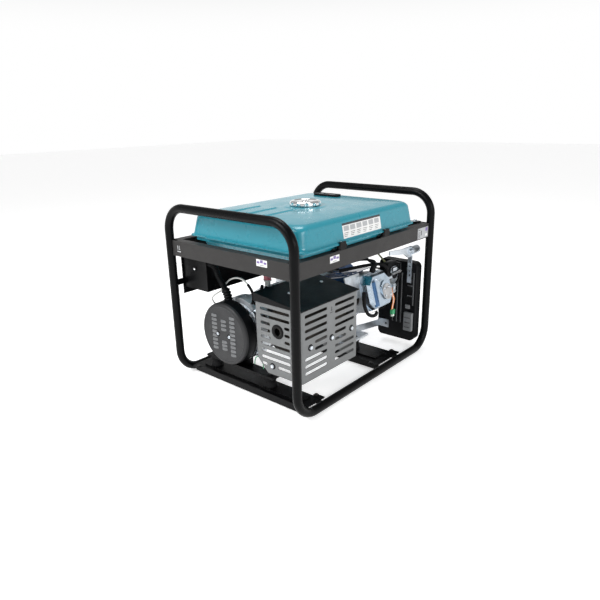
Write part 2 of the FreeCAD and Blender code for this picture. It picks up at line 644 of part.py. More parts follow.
def end_bracket():
    """Cast end bracket: stator seat, open spider and bearing hub, with lugs for the through bolts."""
    shell = ring((182, CRANK_Y, CRANK_Z), X_AXIS, BRACKET_R, STATOR_R, 44)
    web = rod((220, CRANK_Y, CRANK_Z), X_AXIS, BRACKET_R - 1, 6)
    neck = ring((224, CRANK_Y, CRANK_Z), X_AXIS, 80, 74, 24)
    hub = rod((218, CRANK_Y, CRANK_Z), X_AXIS, 33, 24)
    lugs = [rod((206, y, z), X_AXIS, 9.0, 20) for y, z in bolt_places()]
    stack_space = rod((180, CRANK_Y, CRANK_Z), X_AXIS, STATOR_R, 40)
    windows = []
    for k in range(6):
        cut = rod((216, CRANK_Y + 53, CRANK_Z), X_AXIS, 15, 20)
        windows.append(swung(cut, 60 * k + 30, (0, CRANK_Y, CRANK_Z), X_AXIS))
    for k in range(10):
        cut = box((231, 244), (CRANK_Y + 65, CRANK_Y + 100), (CRANK_Z - 14, CRANK_Z + 14))
        windows.append(swung(cut, 36 * k + 18, (0, CRANK_Y, CRANK_Z), X_AXIS))
    for k in range(12):
        cut = box((192, 214), (CRANK_Y + 80, CRANK_Y + 100), (CRANK_Z - 7, CRANK_Z + 7))
        windows.append(swung(cut, 30 * k, (0, CRANK_Y, CRANK_Z), X_AXIS))
    bore = rod((217, CRANK_Y, CRANK_Z), X_AXIS, 26.0, 26)
    holes = [rod((180, y, z), X_AXIS, 3.5, 60) for y, z in bolt_places()]
    return fuse([shell, web, neck, hub] + lugs).cut(group([stack_space, bore] + windows + holes))


def rear_bearing():
    """Ball bearing in the end bracket's hub, drawn as its two races with a shield between them."""
    return ring((222, CRANK_Y, CRANK_Z), X_AXIS, 26.0, SHAFT_R + RUN, 15)


def stator():
    """Laminated stack with the two copper coil ends."""
    stack = ring((90, CRANK_Y, CRANK_Z), X_AXIS, STATOR_R, ROTOR_R + AIR_GAP, 100)
    teeth = []
    for k in range(24):
        cut = box((85, 195), (CRANK_Y + ROTOR_R - 2, CRANK_Y + ROTOR_R + 18), (CRANK_Z - 2.2, CRANK_Z + 2.2))
        teeth.append(swung(cut, 15 * k, (0, CRANK_Y, CRANK_Z), X_AXIS))
    coils = [ring((x, CRANK_Y, CRANK_Z), X_AXIS, 80, 60, 20) for x in (70, 190)]
    return fuse([stack.cut(group(teeth))] + coils)


def rotor():
    """Two-pole field rotor pressed on the shaft, with its coils and slip rings."""
    core = rod((92, CRANK_Y, CRANK_Z), X_AXIS, ROTOR_R, 96)
    slots = []
    for side in (-1, 1):
        y = (CRANK_Y + side * 38, CRANK_Y + side * 60)
        slots.append(box((90, 190), tuple(sorted(y)), (CRANK_Z - 14, CRANK_Z + 14)))
    coils = [rod((x, CRANK_Y, CRANK_Z), X_AXIS, 46, 16) for x in (76, 188)]
    slip = rod((204, CRANK_Y, CRANK_Z), X_AXIS, 24, 12)
    bore = rod((70, CRANK_Y, CRANK_Z), X_AXIS, SHAFT_R, 160)
    return fuse([core.cut(group(slots))] + coils + [slip]).cut(bore)


def rotor_fan():
    """Cooling fan on the shaft at the engine side: back disc with radial vanes."""
    disc = rod((30, CRANK_Y, CRANK_Z), X_AXIS, 80, 3)
    hub = rod((24, CRANK_Y, CRANK_Z), X_AXIS, 28, 36)
    vanes = []
    for k in range(12):
        vane = box((32, 55), (CRANK_Y + 26, CRANK_Y + 78), (CRANK_Z - 1.2, CRANK_Z + 1.2))
        vanes.append(swung(vane, 30 * k, (0, CRANK_Y, CRANK_Z), X_AXIS))
    return fuse([disc, hub] + vanes).cut(rod((20, CRANK_Y, CRANK_Z), X_AXIS, SHAFT_R, 60))


def drive_bracket():
    """Cast housing between crankcase and stator, with air slots round the fan."""
    shell = ring((-28, CRANK_Y, CRANK_Z), X_AXIS, 98, 92, 123)
    seat = ring((88, CRANK_Y, CRANK_Z), X_AXIS, 98, STATOR_R, 7)
    back = ring((-28, CRANK_Y, CRANK_Z), X_AXIS, 98, 40, 6)
    lugs = [rod((70, y, z), X_AXIS, 9.0, 25) for y, z in bolt_places()]
    inside = rod((60, CRANK_Y, CRANK_Z), X_AXIS, STATOR_R, 50)
    windows = []
    for k in range(16):
        cut = box((28, 60), (CRANK_Y + 85, CRANK_Y + 105), (CRANK_Z - 6, CRANK_Z + 6))
        windows.append(swung(cut, 22.5 * k + 11.25, (0, CRANK_Y, CRANK_Z), X_AXIS))
    holes = [rod((68, y, z), X_AXIS, 3.5, 40) for y, z in bolt_places()]
    return fuse([shell, seat, back] + lugs).cut(group([inside] + windows + holes))


def alternator_foot():
    """Bent steel saddle that carries the end bracket on its two isolators."""
    plate = box((236, 276), (-190, 96), (MOUNT_TOP, MOUNT_TOP + FOOT_T))
    web = box((236, 249), (CRANK_Y - 60, CRANK_Y + 60), (MOUNT_TOP, CRANK_Z - 60))
    ring_space = rod((230, CRANK_Y, CRANK_Z), X_AXIS, BRACKET_R, 60)
    holes = [rod((x, y, 50), Z_AXIS, 4.0, 30) for x, y in MOUNT_XY[:2]]
    return fuse([plate, web]).cut(group([ring_space] + holes))


# ---------------------------------------------------------------- engine

TILT = math.radians(CYL_TILT)
CYL_DIR = V(0, math.cos(TILT), math.sin(TILT))
CYL_UP = V(0, -math.sin(TILT), math.cos(TILT))
CRANK_POINT = V(CYL_X, CRANK_Y, CRANK_Z)
PORT_S = 214.0
PORT_Y = CRANK_Y + PORT_S * math.cos(TILT)
PORT_Z = CRANK_Z + PORT_S * math.sin(TILT)


def on_cylinder(x, along, up):
    """Box along the cylinder: x offsets from its centre, distance from the crank, height off its axis."""
    shape = Part.makeBox(x[1] - x[0], along[1] - along[0], up[1] - up[0], V(x[0], along[0], up[0]))
    shape.rotate(V(0, 0, 0), X_AXIS, CYL_TILT)
    shape.translate(CRANK_POINT)
    return shape


def on_cylinder_rod(x, along, up, radius, length):
    start = CRANK_POINT + X_AXIS * x + CYL_DIR * along + CYL_UP * up
    return Part.makeCylinder(radius, length, start, CYL_DIR)


def crankcase():
    """Cast crankcase, hollow, with shaft bores, mounting feet and the oil filler boss."""
    x, y, z = CASE_X, CASE_Y, CASE_Z
    outer = box(x, y, z)
    outer = outer.makeFillet(18.0, [e for e in outer.Edges if abs(e.Vertexes[0].X - e.Vertexes[-1].X) > 1])
    feet = box((x[0] + 5, x[1] - 5), (y[0] - 34, 116), (MOUNT_TOP, MOUNT_TOP + CASE_FOOT_T))
    boss = rod((x[1] - 6, CRANK_Y, CRANK_Z), X_AXIS, 40, 12)
    spout = rod(OIL_START, OIL_DIR, 16, 34)
    ribs = [box((x[0] - 2, x[1] + 0.5), (y[0] - 2.5, y[0] + 5), (zz, zz + 4)) for zz in (100, 130, 200, 226)]
    hollow = box((x[0] + 8, x[1] - 8), (y[0] + 8, y[1] - 8), (z[0] + 10, z[1] - 8))
    bore = rod((x[0] - 10, CRANK_Y, CRANK_Z), X_AXIS, SHAFT_R + RUN, 200)
    cylinder_bore = on_cylinder_rod(0, 60, 0, 44, 60)
    oil_bore = rod(OIL_START, OIL_DIR, 11, 60)
    holes = [rod((mx, my, 50), Z_AXIS, 4.0, 40) for mx, my in MOUNT_XY[2:]]
    spill = box((x[0] - 40, x[1] + 40), (y[0] - 60, y[1] + 200), (z[0] - 30, MOUNT_TOP))
    body = fuse([outer, feet, boss, spout] + ribs)
    return body.cut(group([hollow, bore, cylinder_bore, oil_bore, spill] + holes))


OIL_START = (-150.0, -160.0, 104.0)
OIL_DIR = V(0, -math.sin(math.radians(50)), math.cos(math.radians(50)))


def oil_dipstick():
    """Screw cap with a finger grip and the measuring blade below it."""
    top = V(*OIL_START) + OIL_DIR * 34.3
    cap = Part.makeCylinder(15, 8, top, OIL_DIR)
    stem = Part.makeCylinder(10.6, 18, top - OIL_DIR * 18, OIL_DIR)
    blade = Part.makeCylinder(2.5, 26, top - OIL_DIR * 44, OIL_DIR)
    grip = Part.makeBox(24, 5, 10, V(-12, -2.5, 0))
    grip.Placement = FreeCAD.Placement(top + OIL_DIR * 8, FreeCAD.Rotation(Z_AXIS, OIL_DIR))
    return fuse([cap, stem, blade, grip])


def crankshaft():
    """Shaft line from the starter cup to the alternator bearing, with its two crank webs."""
    shaft = rod((-262, CRANK_Y, CRANK_Z), X_AXIS, SHAFT_R, 502)
    webs = [rod((x, CRANK_Y, CRANK_Z), X_AXIS, 58, 16) for x in (CYL_X - 30, CYL_X + 14)]
    return fuse([shaft] + webs)


def flywheel():
    """Cast flywheel with its ring of fan blades and the starter cup."""
    disc = rod((-236, CRANK_Y, CRANK_Z), X_AXIS, 98, 22)
    hollow = ring((-226, CRANK_Y, CRANK_Z), X_AXIS, 88, 34, 14)
    blades = []
    for k in range(18):
        blade = box((-256, -235), (CRANK_Y + 60, CRANK_Y + 96), (CRANK_Z - 1.5, CRANK_Z + 1.5))
        blades.append(swung(blade, 20 * k, (0, CRANK_Y, CRANK_Z), X_AXIS))
    cup = rod((-272, CRANK_Y, CRANK_Z), X_AXIS, 42, 36).cut(rod((-273, CRANK_Y, CRANK_Z), X_AXIS, 38, 34))
    bore = rod((-262, CRANK_Y, CRANK_Z), X_AXIS, SHAFT_R, 60)
    return fuse([disc.cut(hollow), cup] + blades).cut(bore)


def cylinder():
    """Finned barrel and head, leaning up from the crankcase toward the muffler side."""
    barrel = on_cylinder_rod(0, 60, 0, 50, 140)
    parts = [barrel]
    for k in range(10):
        parts.append(on_cylinder((-55, 55), (104 + 9 * k, 107.5 + 9 * k), (-57, 57)))
    parts.append(on_cylinder((-58, 58), (190, HEAD_END), (-48, 68)))
    parts.append(on_cylinder((40, 116), (241, 245), (4, 78)))
    port = rod((CYL_X + 50, PORT_Y, PORT_Z), X_AXIS, 18, 8)
    intake = rod((CYL_X - 60, CARB_Y, CARB_Z), X_AXIS, 17, 10)
    body = fuse(parts + [port, intake])
    case = box((CASE_X[0] - 1, CASE_X[1] + 1), (CASE_Y[0], CASE_Y[1]), CASE_Z)
    bore = on_cylinder_rod(0, 50, 0, 44, 136)
    ports = [rod((CYL_X + 30, PORT_Y, PORT_Z), X_AXIS, 13, 50),
             rod((CYL_X - 80, CARB_Y, CARB_Z), X_AXIS, 12, 45),
             on_cylinder_rod(100, 235, 38, 9, 15)]
    return body.cut(group([case, bore] + ports))


CARB_Y, CARB_Z = 128.0, 252.0
HEAD_END = 255.0


def valve_cover():
    """Bright cast cover on the head: eight-sided and domed, with an upright recess and a round boss."""
    half_w, half_h, cut = 65.0, 58.0, 26.0
    rise = 10.0
    corner = [(half_w - cut, half_h), (half_w, half_h - cut)]
    lower_right = [(x, -z) for x, z in reversed(corner)]
    points = corner + lower_right + [(-x, z) for x, z in reversed(corner + lower_right)]
    outline = Part.Wire(Part.makePolygon([V(px, 0, pz) for px, pz in points + points[:1]]).Edges)
    rim = Part.Face(outline).extrude(V(0, 8, 0))
    steps = []
    for depth, scale in ((8.0, 0.97), (24.0, 0.93), (34.0, 0.84)):
        steps.append(Part.Wire(Part.makePolygon([V(px * scale, depth, pz * scale)
                                                 for px, pz in points + points[:1]]).Edges))
    dome = Part.makeLoft(steps, True, True)
    boss = Part.makeCylinder(27, 6, V(-24, 32, 0), Y_AXIS)
    recess = Part.makeBox(17, 12, 74, V(26, 26, -34))
    hollow = Part.makeBox(90, 22, 84, V(-45, -1, -42))
    body = fuse([rim, dome, boss]).cut(group([recess, hollow]))
    body.translate(V(0, 0, rise))
    body.rotate(V(0, 0, 0), X_AXIS, CYL_TILT)
    body.translate(CRANK_POINT + CYL_DIR * HEAD_END)
    return body


def cylinder_shroud():
    """Pressed air shroud over the barrel: leaning top sheet with two side skirts and ribs."""
    t = 1.5
    top = on_cylinder((-63, 104), (72, 232), (78, 78 + t))
    skirts = [on_cylinder((-63, -63 + t), (112, 186), (36, 79)),
              on_cylinder((104 - t, 104), (98, 232), (30, 79))]
    ribs = [on_cylinder((70 - 26 * k, 74 - 26 * k), (110, 222), (78, 82.5)) for k in range(3)]
    hole = rod((CYL_X + 50, PORT_Y, PORT_Z), X_AXIS, 30, 90)
    return fuse([top] + skirts + ribs).cut(hole)


def fan_housing():
    """Blower housing round the flywheel: short drum with a central air inlet."""
    x0, x1 = FAN_X
    t = 2.0
    drum = rod((x0, CRANK_Y, CRANK_Z), X_AXIS, FAN_R, x1 - x0)
    drum = drum.makeFillet(10, [e for e in drum.Edges if abs(e.BoundBox.XMax - x0) < 1e-6])
    hollow = rod((x0 + t, CRANK_Y, CRANK_Z), X_AXIS, FAN_R - t, x1 - x0)
    hollow = hollow.makeFillet(8, [e for e in hollow.Edges if abs(e.BoundBox.XMax - x0 - t) < 1e-6])
    inlet = rod((x0 - 5, CRANK_Y, CRANK_Z), X_AXIS, 62, 20)
    posts = []
    for k in range(4):
        post = rod((x1 - 12, CRANK_Y + FAN_R - 8, CRANK_Z), X_AXIS, 7, CASE_X[0] - x1 + 12)
        posts.append(swung(post, 45 + 90 * k, (0, CRANK_Y, CRANK_Z), X_AXIS))
    return fuse([drum.cut(group([hollow, inlet]))] + posts)


def recoil_cover():
    """Recoil starter cover: shallow cup with cooling slots, centre post and rope guide."""
    x0, x1 = RECOIL_X
    cup = rod((x0, CRANK_Y, CRANK_Z), X_AXIS, 82, x1 - x0)
    cup = cup.makeFillet(12, [e for e in cup.Edges if abs(e.BoundBox.XMax - x0) < 1e-6])
    hollow = rod((x0 + 2, CRANK_Y, CRANK_Z), X_AXIS, 80, x1 - x0)
    hollow = hollow.makeFillet(10, [e for e in hollow.Edges if abs(e.BoundBox.XMax - x0 - 2) < 1e-6])
    rim = ring((x1 - 2, CRANK_Y, CRANK_Z), X_AXIS, 92, 78, 2)
    cuts = []
    for k in range(12):
        cut = box((x0 - 1, x0 + 6), (CRANK_Y + 40, CRANK_Y + 66), (CRANK_Z - 4, CRANK_Z + 4))
        cuts.append(swung(cut, 30 * k, (0, CRANK_Y, CRANK_Z), X_AXIS))
    post = rod((x0 + 1, CRANK_Y, CRANK_Z), X_AXIS, 8, 26)
    guide = ring((RECOIL_GRIP_X, CRANK_Y - 76, RECOIL_GRIP_Z), Y_AXIS * -1, 8, 4, 15)
    rope_hole = rod((RECOIL_GRIP_X, CRANK_Y - 50, RECOIL_GRIP_Z), Y_AXIS * -1, 4, 45)
    return fuse([cup.cut(group([hollow] + cuts)), rim, post, guide]).cut(rope_hole)


RECOIL_GRIP_X = -309.0
RECOIL_GRIP_Z = CRANK_Z + 20.0


def recoil_pulley():
    """Rope pulley that turns on the cover's centre post."""
    x = RECOIL_X[0] + 6
    rim = rod((x, CRANK_Y, CRANK_Z), X_AXIS, 56, 16)
    groove = ring((x + 5, CRANK_Y, CRANK_Z), X_AXIS, 60, 49, 6)
    pockets = []
    for k in range(5):
        cut = rod((x - 1, CRANK_Y + 32, CRANK_Z), X_AXIS, 8, 20)
        pockets.append(swung(cut, 72 * k, (0, CRANK_Y, CRANK_Z), X_AXIS))
    bore = rod((x - 1, CRANK_Y, CRANK_Z), X_AXIS, 8 + RUN, 20)
    return rim.cut(group([groove, bore] + pockets))


def recoil_handle():
    """Pull grip seated against the rope guide."""
    y = CRANK_Y - 92.5
    grip = box((RECOIL_GRIP_X - 11, RECOIL_GRIP_X + 11), (y - 26, y),
               (RECOIL_GRIP_Z - 48, RECOIL_GRIP_Z + 48))
    grip = grip.makeFillet(9, [e for e in grip.Edges if abs(e.Vertexes[0].Z - e.Vertexes[-1].Z) < 1e-6])
    return grip


# ---------------------------------------------------------------- intake

def carburettor():
    """Carburettor body, flanges, float bowl and its drain plug, between the head and the air filter."""
    x0, x1 = FILTER_X[1], CYL_X - 60
    throat = rod((x0, CARB_Y, CARB_Z), X_AXIS, 18, x1 - x0)
    block = box((x0 + 22, x1 - 16), (CARB_Y - 22, CARB_Y + 24), (CARB_Z - 20, CARB_Z + 24))
    flanges = [box((x0, x0 + 6), (CARB_Y - 30, CARB_Y + 30), (CARB_Z - 24, CARB_Z + 24)),
               box((x1 - 6, x1), (CARB_Y - 22, CARB_Y + 22), (CARB_Z - 20, CARB_Z + 20))]
    centre = (x0 + x1) / 2 + 2
    bowl = rod((centre, CARB_Y, CARB_Z - 48), Z_AXIS, 22, 30)
    drain = rod((centre, CARB_Y, CARB_Z - 54), Z_AXIS, 6, 8)
    inlet = rod((FUEL_HOSE[-1][0], FUEL_HOSE[-1][1], CARB_Z + 22), Z_AXIS, 3.0,
                FUEL_HOSE[-1][2] - CARB_Z - 22)
    bore = rod((x0 - 1, CARB_Y, CARB_Z), X_AXIS, 12, x1 - x0 + 2)
    spindle = rod((CHOKE_X, CHOKE_Y, CARB_Z + 14), Z_AXIS, 3.0 + RUN, 20)
    return fuse([throat, block, bowl, drain, inlet] + flanges).cut(group([bore, spindle]))


CHOKE_X, CHOKE_Y = -256.0, CARB_Y - 4


def choke_lever():
    """Choke spindle and lever on top of the carburettor."""
    spindle = rod((CHOKE_X, CHOKE_Y, CARB_Z + 16), Z_AXIS, 3.0, 12)
    hub = rod((CHOKE_X, CHOKE_Y, CARB_Z + 24.4), Z_AXIS, 7, 4)
    arm = box((CHOKE_X - 4, CHOKE_X + 4), (CHOKE_Y - 42, CHOKE_Y), (CARB_Z + 24.4, CARB_Z + 28.4))
    knob = rod((CHOKE_X, CHOKE_Y - 42, CARB_Z + 24.4), Z_AXIS, 7, 10)
    return fuse([spindle, hub, arm, knob])


def filter_prism(x, inset, r):
    """Round-cornered slab in the plane across the frame."""
    slab = round_prism((FILTER_Y[0] + inset, FILTER_Y[1] - inset), (FILTER_Z[0] + inset, FILTER_Z[1] - inset),
                       (0, x[1] - x[0]), r)
    slab.rotate(V(0, 0, 0), V(1, 1, 1), 120)
    slab.translate(V(x[0], 0, 0))
    return slab


def air_filter_base():
    """Inner half of the filter housing, with stiffening ribs and the inlet to the carburettor."""
    tray = filter_prism((FILTER_SPLIT_X, FILTER_X[1]), 0, 18)
    hollow = filter_prism((FILTER_SPLIT_X - 1, FILTER_X[1] - 3), 3, 15)
    inlet = rod((FILTER_SPLIT_X - 5, CARB_Y, CARB_Z), X_AXIS, 12, 30)
    return tray.cut(group([hollow, inlet]))


def air_filter_cover():
    """Outer lid of the filter housing."""
    lid = filter_prism((FILTER_X[0], FILTER_SPLIT_X - 0.4), 0, 18)
    lid = lid.makeFillet(6, [e for e in lid.Edges if abs(e.BoundBox.XMax - FILTER_X[0]) < 1e-6])
    hollow = filter_prism((FILTER_X[0] + 3, FILTER_SPLIT_X + 1), 3, 15)
    return lid.cut(hollow)


def filter_bracket():
    """Zinc-plated strip from the crankcase foot down to the filter base, with a turned tab at its end."""
    y = (88.5, 91.5)
    tab_x = (FILTER_X[1], FILTER_X[1] + 3)
    profile = [(-100, 80), (-153, 75), (tab_x[0], 58), (tab_x[0], 82), (-153, 98), (-100, 105)]
    strip = Part.Face(Part.makePolygon([V(x, y[0], z) for x, z in profile + profile[:1]]))
    strip = strip.extrude(V(0, y[1] - y[0], 0))
    tab = box(tab_x, (y[0], 130), (60, 88))
    upright = box((-112, -100), y, (MOUNT_TOP + CASE_FOOT_T, 100))
    foot = box((-112, -100), (y[0], 108), (MOUNT_TOP + CASE_FOOT_T, MOUNT_TOP + CASE_FOOT_T + 3))
    hole = rod((tab_x[0] - 2, 119, 74), X_AXIS, 4, 10)
    return fuse([strip, tab, upright, foot]).cut(hole)


def choke_solenoid():
    """Solenoid on a plated bar over the head, held by a perforated strip that stands on the filter base."""
    y, z = 207.0, 349.0
    can = rod((-322, y, z), X_AXIS, 14, 42)
    nose = rod((-282, y, z), X_AXIS, 9, 16)
    profile = [(-150, 359), (-150, 372), (-226, 365), (-284, 366), (-284, 330), (-262, 330), (-240, 345)]
    bar = Part.Face(Part.makePolygon([V(x, y - 2, pz) for x, pz in profile + profile[:1]]))
    bar = bar.extrude(V(0, 4, 0))
    strip = box((-284, -280), (y - 8, y + 7), (240, 334))
    foot = box((FILTER_X[1], -280), (y - 8, y + 7), (240, 252))
    holes = [rod((-290, y, hz), X_AXIS, 3.2, 15) for hz in (266, 281, 296, 311)]
    return fuse([can, nose, bar, strip, foot]).cut(group(holes))


# ---------------------------------------------------------------- control box and leads

def control_box():
    """Folded box behind the control panel, open to the front."""
    t = 2.0
    outer = box(BOX_X, BOX_Y, BOX_Z)
    hollow = box((BOX_X[0] + t, BOX_X[1] - t), (BOX_Y[0] - 5, BOX_Y[1] - t), (BOX_Z[0] + t, BOX_Z[1] - t))
    entry = rod((CONDUIT[-1][0], BOX_Y[1] - 10, CONDUIT[-1][2]), Y_AXIS, CONDUIT_R, 20)
    return outer.cut(group([hollow, entry]))


SOCKETS = ((60.0, 322.0, 25.0), (150.0, 322.0, 33.0))
BREAKER_X, BREAKER_Z = 222.0, 345.0
KEY_X, KEY_Z = 272.0, 345.0


def control_panel():
    """Front plate with its socket, breaker and switch openings, a meter window and the two frame tabs."""
    plate = box((BOX_X[0] - 5, BOX_X[1] + 5), (PANEL_FACE, BOX_Y[0]), (PANEL_Z0, BOX_Z[1]))
    tabs = box((BOX_X[1] - 5, POST_X - TUBE_R), (PANEL_FACE, BOX_Y[0]), (296, 314))
    cuts = [rod((x, PANEL_FACE - 5, z), Y_AXIS, r - 4, 12) for x, z, r in SOCKETS]
    cuts.append(box((BREAKER_X - 10, BREAKER_X + 10), (PANEL_FACE - 5, BOX_Y[0] + 5),
                    (BREAKER_Z - 20, BREAKER_Z + 20)))
    cuts.append(rod((KEY_X, PANEL_FACE - 5, KEY_Z), Y_AXIS, 9, 12))
    cuts.append(box((-8, 26), (PANEL_FACE - 5, BOX_Y[0] + 5), (340, 366)))
    return fuse([plate, tabs]).cut(group(cuts))


def panel_fittings():
    """Lock barrel, breaker housing, meter, terminals and the two outlet sockets."""
    out = [socket_body(*place) for place in SOCKETS]
    lock = fuse([rod((KEY_X, PANEL_FACE, KEY_Z), Y_AXIS, 9, 24),
                 rod((KEY_X, PANEL_FACE - 3, KEY_Z), Y_AXIS, 13, 3)])
    out.append(lock.cut(rod((KEY_X, PANEL_FACE - 4, KEY_Z), Y_AXIS, 4 + RUN, 16)))
    housing = fuse([box((BREAKER_X - 10, BREAKER_X + 10), (PANEL_FACE, PANEL_FACE + 40),
                        (BREAKER_Z - 20, BREAKER_Z + 20)),
                    box((BREAKER_X - 13, BREAKER_X + 13), (PANEL_FACE - 3, PANEL_FACE),
                        (BREAKER_Z - 23, BREAKER_Z + 23))])
    well = box((BREAKER_X - 6.4, BREAKER_X + 6.4), (PANEL_FACE - 4, PANEL_FACE + 12),
               (BREAKER_Z - 14, BREAKER_Z + 14))
    out.append(housing.cut(well))
    meter = fuse([box((-8, 26), (PANEL_FACE - 1, PANEL_FACE + 20), (340, 366)),
                  box((-11, 29), (PANEL_FACE - 3, PANEL_FACE), (337, 369))])
    out.append(meter.cut(box((-5, 23), (PANEL_FACE - 4, PANEL_FACE - 1.5), (343, 363))))
    for x, z in ((215.0, 292.0), (240.0, 292.0), (275.0, 292.0)):
        out.append(fuse([rod((x, PANEL_FACE - 8, z), Y_AXIS, 7, 8),
                         rod((x, PANEL_FACE - 11, z), Y_AXIS, 4, 4)]))
    return group(out)


def socket_body(x, z, r):
    """Round outlet socket with its recess and two contact holes."""
    flange = box((x - r - 4, x + r + 4), (PANEL_FACE - 4, PANEL_FACE), (z - r - 4, z + r + 4))
    barrel = rod((x, PANEL_FACE, z), Y_AXIS, r - 4, 34)
    well = rod((x, PANEL_FACE - 5, z), Y_AXIS, r - 7, 30)
    pins = [rod((x + dx, PANEL_FACE + 20, z), Y_AXIS, 2.4, 20) for dx in (-9.5, 9.5)]
    return fuse([flange, barrel]).cut(group([well] + pins))


def socket_lid(index):
    """Sprung lid, hinged along its top edge."""
    x, z, r = SOCKETS[index]
    y = PANEL_FACE - 4.4
    disc = rod((x, y - 4, z), Y_AXIS, r, 4)
    hinge = rod((x - r * 0.6, y - 4, z + r + 1), X_AXIS, 2.5, r * 1.2)
    strap = box((x - r * 0.6, x + r * 0.6), (y - 4, y - 1.4), (z, z + r + 1))
    return fuse([disc, strap, hinge])


def breaker_toggle():
    """Toggle of the circuit breaker, up when on."""
    y = PANEL_FACE + 3
    hub = rod((BREAKER_X - 6, y, BREAKER_Z), X_AXIS, 6, 12)
    lever = box((BREAKER_X - 5, BREAKER_X + 5), (y - 15, y), (BREAKER_Z - 2.5, BREAKER_Z + 2.5))
    lever = swung(lever, -25, (0, y, BREAKER_Z), X_AXIS)
    return fuse([hub, lever])


def ignition_key():
    """Key in the lock: blade, shoulder and bow."""
    blade = rod((KEY_X, PANEL_FACE - 3.4, KEY_Z), Y_AXIS, 4, 14)
    bow = box((KEY_X - 3, KEY_X + 3), (PANEL_FACE - 13, PANEL_FACE - 3.4), (KEY_Z - 12, KEY_Z + 12))
    return fuse([blade, bow])


CONDUIT_R = 9.5
CONDUIT = ((253.0, -97.0, 250.0), (252.0, -98.0, 269.0), (262.0, -106.0, 303.0), (276.0, -112.0, 336.0),
           (287.0, -109.0, 371.0), (287.0, BOX_Y[1], 371.0))
LEAD_R = 2.6
LEAD = ((216.0, -170.95, 200.3), (216.0, -186.6, 206.6), (224.0, -197.0, 219.0), (238.0, -193.0, 237.0),
        (250.0, -171.0, 256.0), (254.0, -146.0, 270.0), (253.0, -124.0, 284.0), (247.0, -114.0, 304.0),
        (240.0, -99.0, 320.0), (236.0, -75.0, 328.0), (234.0, -50.0, 326.0), (231.0, -32.0, 311.0),
        (225.0, -24.0, 293.0), (216.0, -25.3, 268.0), (216.0, -35.1, 249.6))


def conduit():
    """Corrugated lead cover from the alternator up into the control box."""
    return cord("conduit", CONDUIT, CONDUIT_R)


def output_lead():
    """Round lead looping over the alternator end bracket."""
    return cord("output_lead", LEAD, LEAD_R)


# ---------------------------------------------------------------- all nodes

def nodes():
    return {
        "alternator_end_hoop": end_hoop(1),
        "engine_end_hoop": end_hoop(-1),
        "bottom_rails": bottom_rails(),
        "front_upper_rail": side_upper_rail(-1),
        "rear_upper_rail": side_upper_rail(1),
        "alternator_upper_rail": end_upper_rail(1),
        "engine_upper_rail": end_upper_rail(-1),
        "alternator_crossmember": crossmember(ALT_CROSS_X, 22),
        "engine_crossmember": crossmember(ENG_CROSS_X, 30),
        "rubber_mounts": rubber_mounts(),
        "frame_bolts": frame_bolts(),
        "tank_upper_shell": tank_upper_shell(),
        "tank_lower_shell": tank_lower_shell(),
        "filler_neck": filler_neck(),
        "fuel_cap": fuel_cap(),
        "cap_gasket": cap_gasket(),
        "fuel_gauge": fuel_gauge(),
        "tank_clips": tank_clips(),
        "fuel_cock": fuel_cock(),
        "fuel_cock_lever": fuel_cock_lever(),
        "fuel_hose": cord("fuel_hose", FUEL_HOSE, 4.0),
        "muffler_guard": muffler_guard(),
        "muffler_shield": muffler_shield(),
        "muffler_canister": muffler_canister(),
        "exhaust_pipe": exhaust_pipe(),
        "machine_bolts": machine_bolts(),
        "alternator_cover": alternator_cover(),
        "end_bracket": end_bracket(),
        "alternator_foot": alternator_foot(),
        "rear_bearing": rear_bearing(),
        "stator": stator(),
        "rotor": rotor(),
        "rotor_fan": rotor_fan(),
        "drive_bracket": drive_bracket(),
        "crankcase": crankcase(),
        "crankshaft": crankshaft(),
        "flywheel": flywheel(),
        "cylinder": cylinder(),
        "valve_cover": valve_cover(),
        "cylinder_shroud": cylinder_shroud(),
        "fan_housing": fan_housing(),
        "recoil_cover": recoil_cover(),
        "recoil_pulley": recoil_pulley(),
        "recoil_handle": recoil_handle(),
        "oil_dipstick": oil_dipstick(),
        "carburettor": carburettor(),
        "choke_lever": choke_lever(),
        "air_filter_base": air_filter_base(),
        "air_filter_cover": air_filter_cover(),
        "filter_bracket": filter_bracket(),
        "choke_solenoid": choke_solenoid(),
        "control_box": control_box(),
        "control_panel": control_panel(),
        "panel_fittings": panel_fittings(),
        "small_socket_lid": socket_lid(0),
        "large_socket_lid": socket_lid(1),
        "breaker_toggle": breaker_toggle(),
        "ignition_key": ignition_key(),
        "conduit": conduit(),
        "output_lead": output_lead(),
    }


os.makedirs("parts", exist_ok=True)
for node, shape in nodes().items():
    shape.exportStep("parts/" + node + ".step")
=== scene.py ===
import json
import math

import bmesh
import bpy
from mathutils import Matrix, Vector


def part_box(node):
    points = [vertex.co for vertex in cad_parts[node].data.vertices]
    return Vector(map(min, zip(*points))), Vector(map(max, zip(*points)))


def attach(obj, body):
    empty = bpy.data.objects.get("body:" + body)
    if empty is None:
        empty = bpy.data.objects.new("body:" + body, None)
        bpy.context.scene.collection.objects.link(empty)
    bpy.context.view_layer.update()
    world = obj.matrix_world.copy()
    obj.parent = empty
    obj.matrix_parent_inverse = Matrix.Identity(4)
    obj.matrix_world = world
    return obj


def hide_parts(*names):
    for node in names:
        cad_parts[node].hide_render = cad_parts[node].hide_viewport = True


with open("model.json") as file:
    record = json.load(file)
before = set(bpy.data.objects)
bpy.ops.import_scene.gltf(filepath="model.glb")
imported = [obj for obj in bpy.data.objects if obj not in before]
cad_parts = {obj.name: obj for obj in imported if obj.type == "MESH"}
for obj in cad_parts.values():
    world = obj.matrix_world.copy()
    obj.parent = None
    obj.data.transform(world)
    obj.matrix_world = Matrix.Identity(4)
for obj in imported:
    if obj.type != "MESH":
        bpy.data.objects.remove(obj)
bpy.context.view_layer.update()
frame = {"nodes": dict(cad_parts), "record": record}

MM = 0.001

